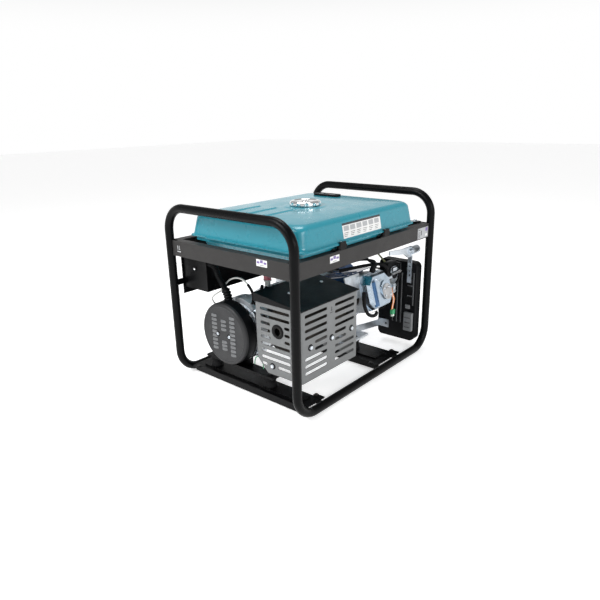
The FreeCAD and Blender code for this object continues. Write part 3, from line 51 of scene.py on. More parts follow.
# ---------------------------------------------------------------- camera, floor and light

CAMERA_AT = Vector((1.299, 1.0984, 0.7754))
CAMERA_RIGHT = Vector((-0.65245, 0.75760, -0.01871))
CAMERA_UP = Vector((-0.25011, -0.19196, 0.94900))
CAMERA_BACK = Vector((0.71537, 0.62385, 0.31473))
LENS_MM = 33.2
SENSOR_MM = 36.0
FLOOR_HALF, FLOOR_Z = 14.0, -0.0005
WHITE = (1, 1, 1, 1)


def make_camera():
    data = bpy.data.cameras.new("camera")
    data.lens = LENS_MM
    data.sensor_width = SENSOR_MM
    data.clip_end = 50.0
    camera = bpy.data.objects.new("camera", data)
    turn = Matrix((CAMERA_RIGHT, CAMERA_UP, CAMERA_BACK)).transposed()
    camera.matrix_world = Matrix.Translation(CAMERA_AT) @ turn.to_4x4()
    bpy.context.collection.objects.link(camera)
    bpy.context.scene.camera = camera


def area_light(name, at, target, size, power, colour=(1, 1, 1)):
    data = bpy.data.lights.new(name, "AREA")
    data.shape = "RECTANGLE"
    data.size, data.size_y = size
    data.energy = power
    data.color = colour
    lamp = bpy.data.objects.new(name, data)
    lamp.location = at
    lamp.rotation_euler = (Vector(target) - Vector(at)).to_track_quat("-Z", "Y").to_euler()
    bpy.context.collection.objects.link(lamp)


def make_floor():
    size = FLOOR_HALF
    corners = [(-size, -size, 0), (size, -size, 0), (size, size, 0), (-size, size, 0)]
    mesh = bpy.data.meshes.new("floor")
    mesh.from_pydata(corners, [], [(0, 1, 2, 3)])
    floor = bpy.data.objects.new("floor", mesh)
    bpy.context.collection.objects.link(floor)
    floor.location.z = FLOOR_Z
    mat = bpy.data.materials.new("floor_paper")
    mat.use_nodes = True
    shader = mat.node_tree.nodes["Principled BSDF"]
    shader.inputs["Base Color"].default_value = (0.93, 0.93, 0.93, 1)
    shader.inputs["Roughness"].default_value = 0.75
    shader.inputs["Emission Color"].default_value = WHITE
    shader.inputs["Emission Strength"].default_value = 0.55
    mesh.materials.append(mat)


def make_light():
    world = bpy.data.worlds.new("studio")
    bpy.context.scene.world = world
    world.use_nodes = True
    tree = world.node_tree
    back = tree.nodes["Background"]
    back.inputs["Color"].default_value = WHITE
    coords = tree.nodes.new("ShaderNodeTexCoord")
    split = tree.nodes.new("ShaderNodeSeparateXYZ")
    fall = tree.nodes.new("ShaderNodeMapRange")
    fall.interpolation_type = "SMOOTHSTEP"
    for socket, value in (("From Min", 0.12), ("From Max", 0.42), ("To Min", 1.0), ("To Max", 0.36)):
        fall.inputs[socket].default_value = value
    tree.links.new(coords.outputs["Generated"], split.inputs[0])
    tree.links.new(split.outputs["Z"], fall.inputs["Value"])
    tree.links.new(fall.outputs["Result"], back.inputs["Strength"])
    area_light("key_softbox", (2.0, -0.5, 1.9), (0.0, 0.0, 0.35), (0.9, 0.9), 40)
    area_light("side_strip", (0.3, 2.4, 1.3), (0.0, 0.1, 0.3), (1.5, 0.4), 20)
    area_light("top_softbox", (-0.2, -0.3, 2.4), (0.0, 0.0, 0.4), (1.1, 0.9), 24)


bpy.context.scene.view_settings.view_transform = "Standard"
make_camera()
make_floor()
make_light()

# ---------------------------------------------------------------- materials


class Finish:
    """One procedural material, built up from named layers on a Principled shader."""

    def __init__(self, name, colour, roughness, metallic=0.0, bevel=0.0008, gloss=0.5):
        self.mat = bpy.data.materials.new(name)
        self.mat.use_nodes = True
        self.tree = self.mat.node_tree
        self.shader = self.tree.nodes["Principled BSDF"]
        self.shader.inputs["Metallic"].default_value = metallic
        self.shader.inputs["Specular IOR Level"].default_value = gloss
        coords = self.tree.nodes.new("ShaderNodeTexCoord")
        self.place = coords.outputs["Object"]
        self.colour = self.constant(colour)
        self.rough = self.number(roughness)
        self.normal = None
        if bevel:
            node = self.tree.nodes.new("ShaderNodeBevel")
            node.samples = 4
            node.inputs["Radius"].default_value = bevel
            self.normal = node.outputs["Normal"]

    def constant(self, colour):
        node = self.tree.nodes.new("ShaderNodeRGB")
        node.outputs[0].default_value = (*colour, 1)
        return node.outputs[0]

    def number(self, value):
        node = self.tree.nodes.new("ShaderNodeValue")
        node.outputs[0].default_value = value
        return node.outputs[0]

    def stretched(self, scale):
        node = self.tree.nodes.new("ShaderNodeMapping")
        node.inputs["Scale"].default_value = scale
        self.tree.links.new(self.place, node.inputs["Vector"])
        return node.outputs["Vector"]

    def noise(self, scale, detail=3.0, stretch=None, low=0.35, high=0.65):
        node = self.tree.nodes.new("ShaderNodeTexNoise")
        node.inputs["Scale"].default_value = scale
        node.inputs["Detail"].default_value = detail
        self.tree.links.new(self.stretched(stretch) if stretch else self.place, node.inputs["Vector"])
        return self.spread(node.outputs["Fac"], low, high)

    def cells(self, scale, low=0.0, high=0.6):
        node = self.tree.nodes.new("ShaderNodeTexVoronoi")
        node.inputs["Scale"].default_value = scale
        self.tree.links.new(self.place, node.inputs["Vector"])
        return self.spread(node.outputs["Distance"], low, high)

    def spread(self, value, low, high):
        node = self.tree.nodes.new("ShaderNodeMapRange")
        node.inputs["From Min"].default_value = low
        node.inputs["From Max"].default_value = high
        self.tree.links.new(value, node.inputs["Value"])
        return node.outputs["Result"]

    def edges(self, radius=0.002, low=0.82, high=0.99):
        """Mask that is 1 on outer and inner edges and 0 on open faces."""
        bevel = self.tree.nodes.new("ShaderNodeBevel")
        bevel.samples = 4
        bevel.inputs["Radius"].default_value = radius
        geometry = self.tree.nodes.new("ShaderNodeNewGeometry")
        dot = self.tree.nodes.new("ShaderNodeVectorMath")
        dot.operation = "DOT_PRODUCT"
        self.tree.links.new(bevel.outputs["Normal"], dot.inputs[0])
        self.tree.links.new(geometry.outputs["True Normal"], dot.inputs[1])
        node = self.tree.nodes.new("ShaderNodeMapRange")
        node.inputs["From Min"].default_value = low
        node.inputs["From Max"].default_value = high
        node.inputs["To Min"].default_value = 1.0
        node.inputs["To Max"].default_value = 0.0
        self.tree.links.new(dot.outputs["Value"], node.inputs["Value"])
        return node.outputs["Result"]

    def times(self, a, b):
        node = self.tree.nodes.new("ShaderNodeMath")
        node.operation = "MULTIPLY"
        node.use_clamp = True
        for k, value in enumerate((a, b)):
            if isinstance(value, (int, float)):
                node.inputs[k].default_value = value
            else:
                self.tree.links.new(value, node.inputs[k])
        return node.outputs[0]

    def tint(self, mask, colour, amount=1.0):
        node = self.tree.nodes.new("ShaderNodeMix")
        node.data_type = "RGBA"
        self.tree.links.new(self.times(mask, amount), node.inputs[0])
        self.tree.links.new(self.colour, node.inputs[6])
        node.inputs[7].default_value = (*colour, 1)
        self.colour = node.outputs[2]

    def roughen(self, mask, value, amount=1.0):
        node = self.tree.nodes.new("ShaderNodeMix")
        node.data_type = "FLOAT"
        self.tree.links.new(self.times(mask, amount), node.inputs[0])
        self.tree.links.new(self.rough, node.inputs[2])
        node.inputs[3].default_value = value
        self.rough = node.outputs[0]

    def bump(self, height, strength, distance):
        node = self.tree.nodes.new("ShaderNodeBump")
        node.inputs["Strength"].default_value = strength
        node.inputs["Distance"].default_value = distance
        self.tree.links.new(height, node.inputs["Height"])
        if self.normal is not None:
            self.tree.links.new(self.normal, node.inputs["Normal"])
        self.normal = node.outputs["Normal"]

    def set(self, socket, value):
        self.shader.inputs[socket].default_value = value

    def done(self):
        self.tree.links.new(self.colour, self.shader.inputs["Base Color"])
        self.tree.links.new(self.rough, self.shader.inputs["Roughness"])
        if self.normal is not None:
            self.tree.links.new(self.normal, self.shader.inputs["Normal"])
        return self.mat


def shade(colour, factor):
    return tuple(min(1.0, c * factor) for c in colour)


def paint(name, colour, roughness=0.35, coat=0.3, peel=0.12, wear=0.25, worn=(0.25, 0.25, 0.25), dust=0.12,
          gloss=0.5, mottle=1.0, bevel=0.0008):
    """Sprayed or powder-coated steel: orange peel, light patchiness, rubbed edges and a little dust."""
    f = Finish(name, colour, roughness, bevel=bevel, gloss=gloss)
    f.tint(f.noise(9, 4), shade(colour, 0.8), 0.35 * mottle)
    f.tint(f.noise(34, 3, low=0.55, high=0.8), shade(colour, 1.25), 0.25 * mottle)
    f.tint(f.times(f.edges(0.0018), f.noise(60, 4, low=0.45, high=0.62)), worn, wear)
    f.tint(f.noise(5, 5, low=0.5, high=0.8), (0.35, 0.34, 0.32), dust * 0.35)
    f.roughen(f.noise(22, 4), min(1.0, roughness + 0.14), 0.7)
    f.bump(f.noise(900, 2), peel, 0.0004)
    f.bump(f.noise(45, 3), 0.04 * mottle, 0.002)
    f.set("Coat Weight", coat)
    f.set("Coat Roughness", 0.12)
    return f.done()


def plastic(name, colour, roughness=0.5, grain=0.25, scuff=0.3, gloss=0.5):
    """Moulded plastic with a fine spark-eroded grain and faint scuffs."""
    f = Finish(name, colour, roughness, gloss=gloss)
    f.tint(f.noise(14, 4), shade(colour, 1.35), 0.35)
    f.tint(f.times(f.edges(0.0016), f.noise(80, 3, low=0.45, high=0.65)), shade(colour, 4.0), scuff)
    f.tint(f.noise(5, 5, low=0.52, high=0.8), (0.3, 0.29, 0.27), 0.02)
    f.roughen(f.noise(30, 4), min(1.0, roughness + 0.16), 0.8)
    f.bump(f.cells(1500), grain, 0.0003)
    f.bump(f.noise(60, 3), 0.05, 0.001)
    return f.done()


def cast_metal(name, colour, roughness=0.45, grit=0.5, stain=(0.12, 0.115, 0.11), polish=0.0, metallic=0.72):
    """Die-cast metal: sandy skin, darker stains in patches, brighter rubbed edges."""
    f = Finish(name, colour, roughness, metallic=metallic)
    f.tint(f.noise(26, 5, low=0.48, high=0.72), stain, 0.35)
    f.tint(f.noise(110, 3), shade(colour, 0.75), 0.4)
    f.tint(f.edges(0.002), shade(colour, 1.3), 0.5 + polish * 0.3)
    f.roughen(f.noise(38, 4), min(1.0, roughness + 0.22), 0.8)
    f.roughen(f.edges(0.002), max(0.12, roughness - 0.2), 0.5)
    f.bump(f.noise(700, 4), grit, 0.0005)
    f.bump(f.noise(70, 3), 0.12, 0.0015)
    return f.done()


def plated(name, colour, roughness=0.28, swirl=0.5, tarnish=(0.3, 0.27, 0.2)):
    """Zinc-plated or bright steel: spangle, faint rolling lines and dull spots."""
    f = Finish(name, colour, roughness, metallic=1.0, bevel=0.0005)
    f.tint(f.cells(260, 0.1, 0.8), shade(colour, 0.78), 0.4)
    f.tint(f.noise(40, 5, low=0.55, high=0.75), tarnish, 0.22)
    f.roughen(f.noise(55, 4), roughness + 0.2, 0.75)
    f.bump(f.noise(260, 3, stretch=(1, 1, 9)), swirl * 0.2, 0.0002)
    f.bump(f.noise(1200, 2), 0.08, 0.0002)
    return f.done()


def chrome(name):
    f = Finish(name, (0.86, 0.87, 0.88), 0.13, metallic=1.0, bevel=0.0006)
    f.tint(f.noise(30, 4, low=0.5, high=0.8), (0.62, 0.63, 0.64), 0.35)
    f.roughen(f.noise(60, 5, low=0.5, high=0.75), 0.26, 0.6)
    f.bump(f.noise(240, 2), 0.03, 0.0003)
    return f.done()


def rubber(name, colour=(0.006, 0.006, 0.0066), roughness=0.6):
    f = Finish(name, colour, roughness, gloss=0.12)
    f.tint(f.noise(25, 5), shade(colour, 2.2), 0.4)
    f.tint(f.noise(8, 5, low=0.5, high=0.8), (0.22, 0.21, 0.2), 0.03)
    f.roughen(f.noise(50, 3), 0.9, 0.7)
    f.bump(f.noise(900, 3), 0.3, 0.0003)
    f.bump(f.noise(120, 3), 0.12, 0.0008)
    return f.done()


def heated_steel(name):
    """Aluminised steel that has run hot: straw and blue bands over a dull grey."""
    f = Finish(name, (0.05, 0.047, 0.044), 0.5, metallic=0.8)
    f.tint(f.noise(16, 5), (0.06, 0.04, 0.025), 0.45)
    f.tint(f.noise(11, 4, low=0.55, high=0.75), (0.03, 0.035, 0.055), 0.4)
    f.roughen(f.noise(40, 4), 0.65, 0.8)
    f.bump(f.noise(600, 4), 0.3, 0.0004)
    return f.done()


def windings(name):
    """Varnished copper coils between grey steel laminations, split along the shaft."""
    f = Finish(name, (0.17, 0.17, 0.18), 0.45, metallic=0.9)
    f.bump(f.noise(1600, 1, stretch=(1, 0.02, 0.02)), 0.6, 0.0004)
    f.tint(f.noise(30, 4), (0.36, 0.13, 0.05), 0.35)
    f.roughen(f.noise(40, 4), 0.65, 0.7)
    return f.done()


finishes = {
    "black_tube": paint("black_tube", (0.002, 0.0022, 0.0025), 0.26, coat=0.0, peel=0.2, wear=0.04, dust=0.0,
                        gloss=0.1),
    "grey_steel": paint("grey_steel", (0.03, 0.0285, 0.028), 0.42, coat=0.0, peel=0.16, wear=0.15, dust=0.03,
                        gloss=0.2),
    "black_steel": paint("black_steel", (0.002, 0.002, 0.0024), 0.3, coat=0.0, peel=0.16, wear=0.12, dust=0.0,
                         gloss=0.12),
    "teal_paint": paint("teal_paint", (0.016, 0.235, 0.305), 0.24, coat=0.35, peel=0.02, wear=0.0,
                        worn=(0.2, 0.45, 0.5), dust=0.0, gloss=0.4, mottle=0.25, bevel=0),
    "guard_grey": paint("guard_grey", (0.16, 0.166, 0.168), 0.4, coat=0.1, peel=0.2, wear=0.35, dust=0.1,
                        gloss=0.4),
    "navy_paint": paint("navy_paint", (0.006, 0.05, 0.15), 0.25, coat=0.4, peel=0.1, wear=0.2, dust=0.0,
                        gloss=0.4),
    "rubber": rubber("rubber"),
    "zinc": plated("zinc", (0.68, 0.73, 0.78)),
    "steel": plated("steel", (0.5, 0.5, 0.51), 0.32),
    "copper_coils": windings("copper_coils"),
    "chrome": chrome("chrome"),
    "cast_aluminium": cast_metal("cast_aluminium", (0.82, 0.86, 0.9), 0.4),
    "bright_aluminium": cast_metal("bright_aluminium", (0.5, 0.59, 0.68), 0.2, grit=0.12, polish=1.0,
                                   metallic=1.0, stain=(0.3, 0.36, 0.44)),
    "aluminised": heated_steel("aluminised"),
    "cast_iron": cast_metal("cast_iron", (0.2, 0.2, 0.2), 0.6, grit=0.8),
    "black_plastic": plastic("black_plastic", (0.003, 0.0033, 0.004), 0.4, scuff=0.12, gloss=0.12),
    "cover_plastic": plastic("cover_plastic", (0.022, 0.0225, 0.024), 0.4, grain=0.3, scuff=0.15, gloss=0.35),
    "blue_plastic": plastic("blue_plastic", (0.02, 0.1, 0.24), 0.3, grain=0.08),
    "white_plastic": plastic("white_plastic", (0.72, 0.72, 0.69), 0.35, grain=0.08, scuff=0.0),
    "pale_print": plastic("pale_print", (0.7, 0.7, 0.69), 0.3, grain=0.05, scuff=0.0),
    "grey_print": plastic("grey_print", (0.36, 0.37, 0.38), 0.3, grain=0.05, scuff=0.0),
    "dark_print": plastic("dark_print", (0.03, 0.03, 0.035), 0.3, grain=0.05, scuff=0.0),
    "violet_print": plastic("violet_print", (0.16, 0.11, 0.3), 0.3, grain=0.05, scuff=0.0),
    "gloss_black": plastic("gloss_black", (0.004, 0.004, 0.0045), 0.12, grain=0.02, scuff=0.1, gloss=0.4),
    # lighter grey: painted highlight on the alternator cover's louvre hoods, and the filter trim's own pale
    # grey plastic
    "pale_grey_and_louvre_highlight": plastic("pale_grey_and_louvre_highlight", (0.15, 0.155, 0.16), 0.36, grain=0.2, scuff=0.1),
    "red_plastic": plastic("red_plastic", (0.5, 0.03, 0.02), 0.35, grain=0.1, scuff=0.0),
    "pink_plastic": plastic("pink_plastic", (0.6, 0.16, 0.2), 0.35, grain=0.1, scuff=0.0),
    "orange_plastic": plastic("orange_plastic", (0.7, 0.2, 0.03), 0.35, grain=0.1, scuff=0.0),
    "green_plastic": plastic("green_plastic", (0.03, 0.3, 0.12), 0.35, grain=0.1, scuff=0.0),
    "olive_plastic": plastic("olive_plastic", (0.13, 0.13, 0.05), 0.4, grain=0.1, scuff=0.0),
}


def finish_cad_nodes():
    slots = {row["node"]: row["material_slot"] for row in frame["record"]["subparts"]}
    for name, thing in frame["nodes"].items():
        thing.data.materials.clear()
        thing.data.materials.append(finishes[slots[name]])


# ---------------------------------------------------------------- mesh building, in millimetres

X, Y, Z = Vector((1, 0, 0)), Vector((0, 1, 0)), Vector((0, 0, 1))
OPEN = (False, False)


def node_box(node):
    lo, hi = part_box(node)
    return Vector(lo) / MM, Vector(hi) / MM


def across(axis):
    """Two directions square to an axis and to each other."""
    side = axis.orthogonal().normalized()
    return side, axis.cross(side)


def spline_points(points, steps=10):
    """Points along the NURBS spline that has these control points."""
    data = bpy.data.curves.new("route", "CURVE")
    data.dimensions = "3D"
    data.resolution_u = steps
    spline = data.splines.new("NURBS")
    spline.points.add(len(points) - 1)
    for point, at in zip(spline.points, points):
        point.co = (*at, 1)
    spline.order_u = 3
    spline.use_endpoint_u = True
    holder = bpy.data.objects.new("route", data)
    mesh = bpy.data.meshes.new_from_object(holder)
    route = [v.co.copy() for v in mesh.vertices]
    bpy.data.objects.remove(holder)
    bpy.data.meshes.remove(mesh)
    return route


def evenly(route, step):
    """The same route with its points a given step apart."""
    out = [route[0]]
    for a, b in zip(route, route[1:]):
        length = (b - a).length
        count = max(1, round(length / step))
        out += [a.lerp(b, k / count) for k in range(1, count + 1)]
    return out


def rounded(half_x, half_y, r, count):
    """Outline of a round-cornered rectangle about its centre, with evenly spread points."""
    r = min(r, half_x - 0.01, half_y - 0.01)
    straight_x, straight_y = half_x - r, half_y - r
    arc = math.pi * r / 2
    total = 4 * (straight_x + straight_y + arc)
    legs = [(straight_y, (half_x, 0), (0, 1)), (arc, (straight_x, straight_y), 0),
            (2 * straight_x, (straight_x, half_y), (-1, 0)), (arc, (-straight_x, straight_y), 90),
            (2 * straight_y, (-half_x, straight_y), (0, -1)), (arc, (-straight_x, -straight_y), 180),
            (2 * straight_x, (-straight_x, -half_y), (1, 0)), (arc, (straight_x, -straight_y), 270),
            (straight_y, (half_x, -straight_y), (0, 1))]
    out = []
    for k in range(count):
        left = total * k / count
        for length, at, way in legs:
            if left <= length:
                break
            left -= length
        if isinstance(way, tuple):
            out.append((at[0] + way[0] * left, at[1] + way[1] * left))
        else:
            angle = math.radians(way + 90 * left / length)
            out.append((at[0] + r * math.cos(angle), at[1] + r * math.sin(angle)))
    return out


class Piece:
    """A mesh in the making; each face names the finish it takes."""

    def __init__(self, name):
        self.name = name
        self.bm = bmesh.new()
        self.used = []

    def slot_of(self, finish):
        if finish not in self.used:
            self.used.append(finish)
        return self.used.index(finish)

    def skin(self, rings, finish, closed=True, caps=OPEN):
        """Faces between rings of points; finish is one name, or a function of the ring's number."""
        rows = [[self.bm.verts.new(p) for p in ring] for ring in rings]
        count = len(rows[0])
        for j in range(len(rows) - 1):
            name = finish(j) if callable(finish) else finish
            for k in range(count if closed else count - 1):
                n = (k + 1) % count
                face = self.bm.faces.new((rows[j][k], rows[j][n], rows[j + 1][n], rows[j + 1][k]))
                face.material_index = self.slot_of(name)
        for row, wanted, index in ((rows[0], caps[0], 0), (rows[-1], caps[1], len(rows) - 2)):
            if wanted:
                face = self.bm.faces.new(row)
                face.material_index = self.slot_of(finish(index) if callable(finish) else finish)

    def lathe(self, start, axis, profile, finish, segments=28, ripple=None, caps=(True, True)):
        """Turned shape: profile is radius and height pairs; ripple scales the radius by angle and height."""
        a, b = across(axis)
        rings = []
        for r, h in profile:
            ring = []
            for k in range(segments):
                t = 2 * math.pi * k / segments
                rr = r * (ripple(t, h) if ripple else 1)
                ring.append(start + axis * h + a * rr * math.cos(t) + b * rr * math.sin(t))
            rings.append(ring)
        self.skin(rings, finish, caps=caps)

    def tube(self, route, radius, finish, segments=14, step=3.0):
        """Round tube along a spline; radius may be a function of the distance along it."""
        path = evenly(spline_points(route), step)
        along = [0.0]
        for p, q in zip(path, path[1:]):
            along.append(along[-1] + (q - p).length)
        total = along[-1]
        side = None
        rings = []
        for k, at in enumerate(path):
            tangent = (path[min(k + 1, len(path) - 1)] - path[max(k - 1, 0)]).normalized()
            if side is None:
                side = tangent.orthogonal().normalized()
            side = (side - tangent * side.dot(tangent)).normalized()
            other = tangent.cross(side)
            r = radius(along[k], total) if callable(radius) else radius
            rings.append([at + side * r * math.cos(t) + other * r * math.sin(t)
                          for t in [2 * math.pi * n / segments for n in range(segments)]])
        name = (lambda j: finish(along[j], total)) if callable(finish) else finish
        self.skin(rings, name, caps=(True, True))

    def block(self, lo, hi, finish, edge=0.8, turn=None):
        """Box with eased edges; turn is a matrix about the box's centre."""
        lo, hi = Vector(lo), Vector(hi)
        centre = (lo + hi) / 2
        half = (hi - lo) / 2
        edge = min(edge, min(half) * 0.8)
        index = self.slot_of(finish)
        made = bmesh.ops.create_cube(self.bm, size=2.0)["verts"]
        for v in made:
            v.co = Vector((v.co.x * half.x, v.co.y * half.y, v.co.z * half.z))
            v.co = centre + (turn @ v.co if turn else v.co)
        faces = {f for v in made for f in v.link_faces}
        for face in faces:
            face.material_index = index
        edges = list({e for f in faces for e in f.edges})
        bmesh.ops.bevel(self.bm, geom=edges, offset=edge, segments=2, affect="EDGES", profile=0.6)

    def hex_bolt(self, seat, axis, across_flats, finish="zinc", washer="zinc"):
        """Hexagon bolt head on its washer, with a chamfered crown."""
        r = across_flats / math.sqrt(3)
        washer_r = r * 1.5
        self.lathe(seat, axis, [(washer_r, -0.3), (washer_r, 0.9), (washer_r * 0.96, 1.2), (r * 0.5, 1.2)],
                   washer)
        self.lathe(seat, axis, [(r, 1.0), (r, r * 0.62), (r * 0.9, r * 0.74), (r * 0.45, r * 0.76),
                                (r * 0.38, r * 0.7)], finish, segments=6)

    def done(self, slot, body="frame", replaces=(), smooth=38.0):
        bmesh.ops.recalc_face_normals(self.bm, faces=self.bm.faces)
        mesh = bpy.data.meshes.new(self.name)
        self.bm.to_mesh(mesh)
        self.bm.free()
        mesh.transform(Matrix.Scale(MM, 4))
        mesh.shade_smooth()
        mesh.set_sharp_from_angle(angle=math.radians(smooth))
        for finish in self.used:
            mesh.materials.append(finishes[finish])
        thing = bpy.data.objects.new(self.name, mesh)
        bpy.context.collection.objects.link(thing)
        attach(thing, body)
        if replaces:
            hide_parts(*replaces)
        return thing


def ease(value, low, high):
    """0 below low, 1 above high, and a smooth step between."""
    t = min(1.0, max(0.0, (value - low) / (high - low)))
    return t * t * (3 - 2 * t)


# ---------------------------------------------------------------- tank

TANK_LO, TANK_HI = node_box("tank_upper_shell")
CAP_LO, CAP_HI = node_box("fuel_cap")
CAP_AT = Vector(((CAP_LO.x + CAP_HI.x) / 2, (CAP_LO.y + CAP_HI.y) / 2, CAP_LO.z))
NECK_R = 35.0
SEAM_Z = TANK_LO.z
FOOT, SHOULDER, BROW = (8, 8, 8, 7), (12, 14, 17, 15), (27, 33, 36, 34)
SHOULDER_Z, BROW_Z, CROWN_Z = 503.0, 520.0, 524.2
RIB_X, RIB_Y, RIB_HALF = (118.0, 236.0), (-85.0, -20.0, 45.0), 13.0
TANK_POINTS = 288
FLANGE_TOP = 4.5
WALL_RINGS, BROW_RINGS, TOP_RINGS = 7, 9, 64


def tank_ring(insets, r, z):
    """Outline drawn in from the flange by its four insets: -X, +X, -Y, +Y."""
    x0, x1 = TANK_LO.x + insets[0], TANK_HI.x - insets[1]
    y0, y1 = TANK_LO.y + insets[2], TANK_HI.y - insets[3]
    outline = rounded((x1 - x0) / 2, (y1 - y0) / 2, r, TANK_POINTS)
    return [Vector(((x0 + x1) / 2 + u, (y0 + y1) / 2 + v, z)) for u, v in outline]


def rib_height(x, y):
    """Raised stripes on the alternator half of the tank top, and the seat round the filler."""
    lift = 0.0
    for middle in RIB_Y:
        dx = max(RIB_X[0] + RIB_HALF - x, x - RIB_X[1] + RIB_HALF, 0.0)
        gap = math.hypot(dx, y - middle) - RIB_HALF
        lift = max(lift, 2.1 * ease(-gap, -1.0, 3.0))
    from_cap = math.hypot(x - CAP_AT.x, y - CAP_AT.y)
    return lift + 1.4 * ease(-from_cap, -66, -58)


def make_tank():
    piece = Piece("tank_top_skin")
    flange = [((9, 9, 9, 9), 22, 0.0), ((1, 1, 1, 1), 29, 0.0), ((0, 0, 0, 0), 30, 0.8),
              ((0.6, 0.6, 0.6, 0.6), 29.5, 2.2), ((3, 3, 3, 2.6), 26, 2.4), ((6.6, 6.6, 6.6, 5.6), 22, 3.0)]
    rings = [tank_ring(insets, r, SEAM_Z + up) for insets, r, up in flange]
    for ring in rings:
        for p in ring:
            if p.y < TANK_LO.y + 79:
                p.x = min(p.x, TANK_HI.x - 5.5)
    for k in range(WALL_RINGS):
        t = k / (WALL_RINGS - 1)
        insets = [a + (b - a) * t for a, b in zip(FOOT, SHOULDER)]
        wall = SHOULDER_Z - SEAM_Z - FLANGE_TOP
        rings.append(tank_ring(insets, 22 + 2 * t, SEAM_Z + FLANGE_TOP + wall * t))
    for k in range(1, BROW_RINGS + 1):
        angle = math.radians(90 / BROW_RINGS * k)
        insets = [a + (b - a) * (1 - math.cos(angle)) for a, b in zip(SHOULDER, BROW)]
        z = SHOULDER_Z + (BROW_Z - SHOULDER_Z) * math.sin(angle)
        rings.append(tank_ring(insets, 24 + 10 * (k / BROW_RINGS), z))
    brow = rings[-1]
    for k in range(1, TOP_RINGS + 1):
        t = k / TOP_RINGS
        ring = []
        for p in brow:
            out = Vector((p.x - CAP_AT.x, p.y - CAP_AT.y, 0)).normalized()
            hole = Vector((CAP_AT.x, CAP_AT.y, 0)) + out * NECK_R
            at = Vector((p.x, p.y, 0)).lerp(hole, t)
            at.z = BROW_Z + (CROWN_Z - BROW_Z) * (1 - (1 - t) ** 3) + rib_height(at.x, at.y)
            ring.append(at)
        rings.append(ring)
    rings.append([p - Z * 4 for p in rings[-1]])
    piece.skin(rings, "teal_paint")
    piece.done("teal_paint", replaces=("tank_upper_shell",), smooth=50)


def make_cap():
    """Chromed filler cap: scalloped skirt, rolled shoulder and a dished middle."""
    piece = Piece("filler_cap")

    def scallop(t, h):
        notch = max(0.0, math.cos(12 * t)) ** 0.5
        return 1 - 0.075 * notch * ease(-h, -11.0, -8.0)

    outer = [(40.5, 0.2), (45.5, 0.2), (47, 1.4), (47, 7.5), (46, 9.6), (43.8, 11.6), (41, 12.9),
             (38.6, 13.7), (36.5, 14), (34.6, 13.6), (33, 12.6), (32, 11.9), (30, 11.6), (20, 11.4),
             (8, 11.3), (0.5, 11.3)]
    piece.lathe(CAP_AT, Z, outer, "chrome", segments=180, ripple=scallop)
    piece.lathe(CAP_AT, Z, [(40.5, 0.2), (40.5, 5.8), (1, 5.8)], "steel", segments=60, caps=(False, True))
    boss = [(11, 11.2), (11, 12.2), (10, 12.7), (4, 12.7), (3, 12.2), (1, 12.2)]
    piece.lathe(CAP_AT, Z, boss, "chrome", 40)
    piece.done("chrome", body="fuel_cap", replaces=("fuel_cap",))


def make_gauge_glass():
    """Lens over the fuel gauge with its pointer and scale marks."""
    lo, hi = node_box("fuel_gauge")
    centre = (lo + hi) / 2
    piece = Piece("gauge_glass")
    piece.block((centre.x - 10.6, centre.y - 35.6, hi.z - 1.9),
                (centre.x + 10.6, centre.y + 35.6, hi.z - 0.7), "gloss_black", edge=0.5)
    for k in range(7):
        y = centre.y - 27 + 9 * k
        wide = 3.2 if k % 3 == 0 else 1.8
        piece.block((centre.x + 3 - wide, y - 0.5, hi.z - 0.8), (centre.x + 3 + wide, y + 0.5, hi.z - 0.55),
                    "pale_print", edge=0.1)
    piece.block((centre.x - 7, centre.y + 5, hi.z - 0.8),
                (centre.x + 6, centre.y + 6.4, hi.z - 0.5), "red_plastic", 0.1)
    piece.done("black_plastic")


def make_clip_pads():
    """Rubber pad that caps each tank clip with its small screw, a wider near-black block under it that is
    painted shadow round the clip, and the stop by the engine end.
    """
    lo, hi = node_box("tank_clips")
    piece = Piece("clip_pads")
    for x in (-68.0, 145.0):
        for y in (hi.y - 3.4, lo.y + 32.0):
            piece.block((x - 10, y - 6, SEAM_Z - 4), (x + 10, y + 3.0, SEAM_Z + 3.5), "rubber", edge=3.6)
            # wider near-black block under the pad: painted shadow round the clip
            piece.block((x - 20, y - 5, SEAM_Z - 13), (x + 18, y + 2.8, SEAM_Z - 3), "rubber", edge=3.6)
            piece.hex_bolt(Vector((x + 2, y - 2.5, SEAM_Z + 3.2)), Z, 5.0, "steel", "black_steel")
    piece.block((-327, 188, 436), (-301, 216, 443), "black_steel", edge=2.0)
    piece.hex_bolt(Vector((-313, 201, 443)), Z, 10.0)
    piece.done("rubber")


# ---------------------------------------------------------------- labels

def make_label(name, corner, along, up, size, rows, base="pale_print"):
    """Thin plate with raised printed cells; rows are (u0, u1, v0, v1, finish) as shares of the plate."""
    piece = Piece(name)
    out = along.cross(up).normalized()
    wide, high = size

    def panel(u0, u1, v0, v1, low, top, finish):
        outline = [(u0, v0), (u1, v0), (u1, v1), (u0, v1)]
        rings = [[corner + along * wide * u + up * high * v + out * h for u, v in outline]
                 for h in (low, top)]
        piece.skin(rings, finish, caps=(True, True))

    if base:
        panel(0, 1, 0, 1, 0.05, 0.45, base)
    for u0, u1, v0, v1, finish in rows:
        panel(u0, u1, v0, v1, 0.05 if base is None else 0.4, 0.52, finish)
    piece.done("white_plastic")


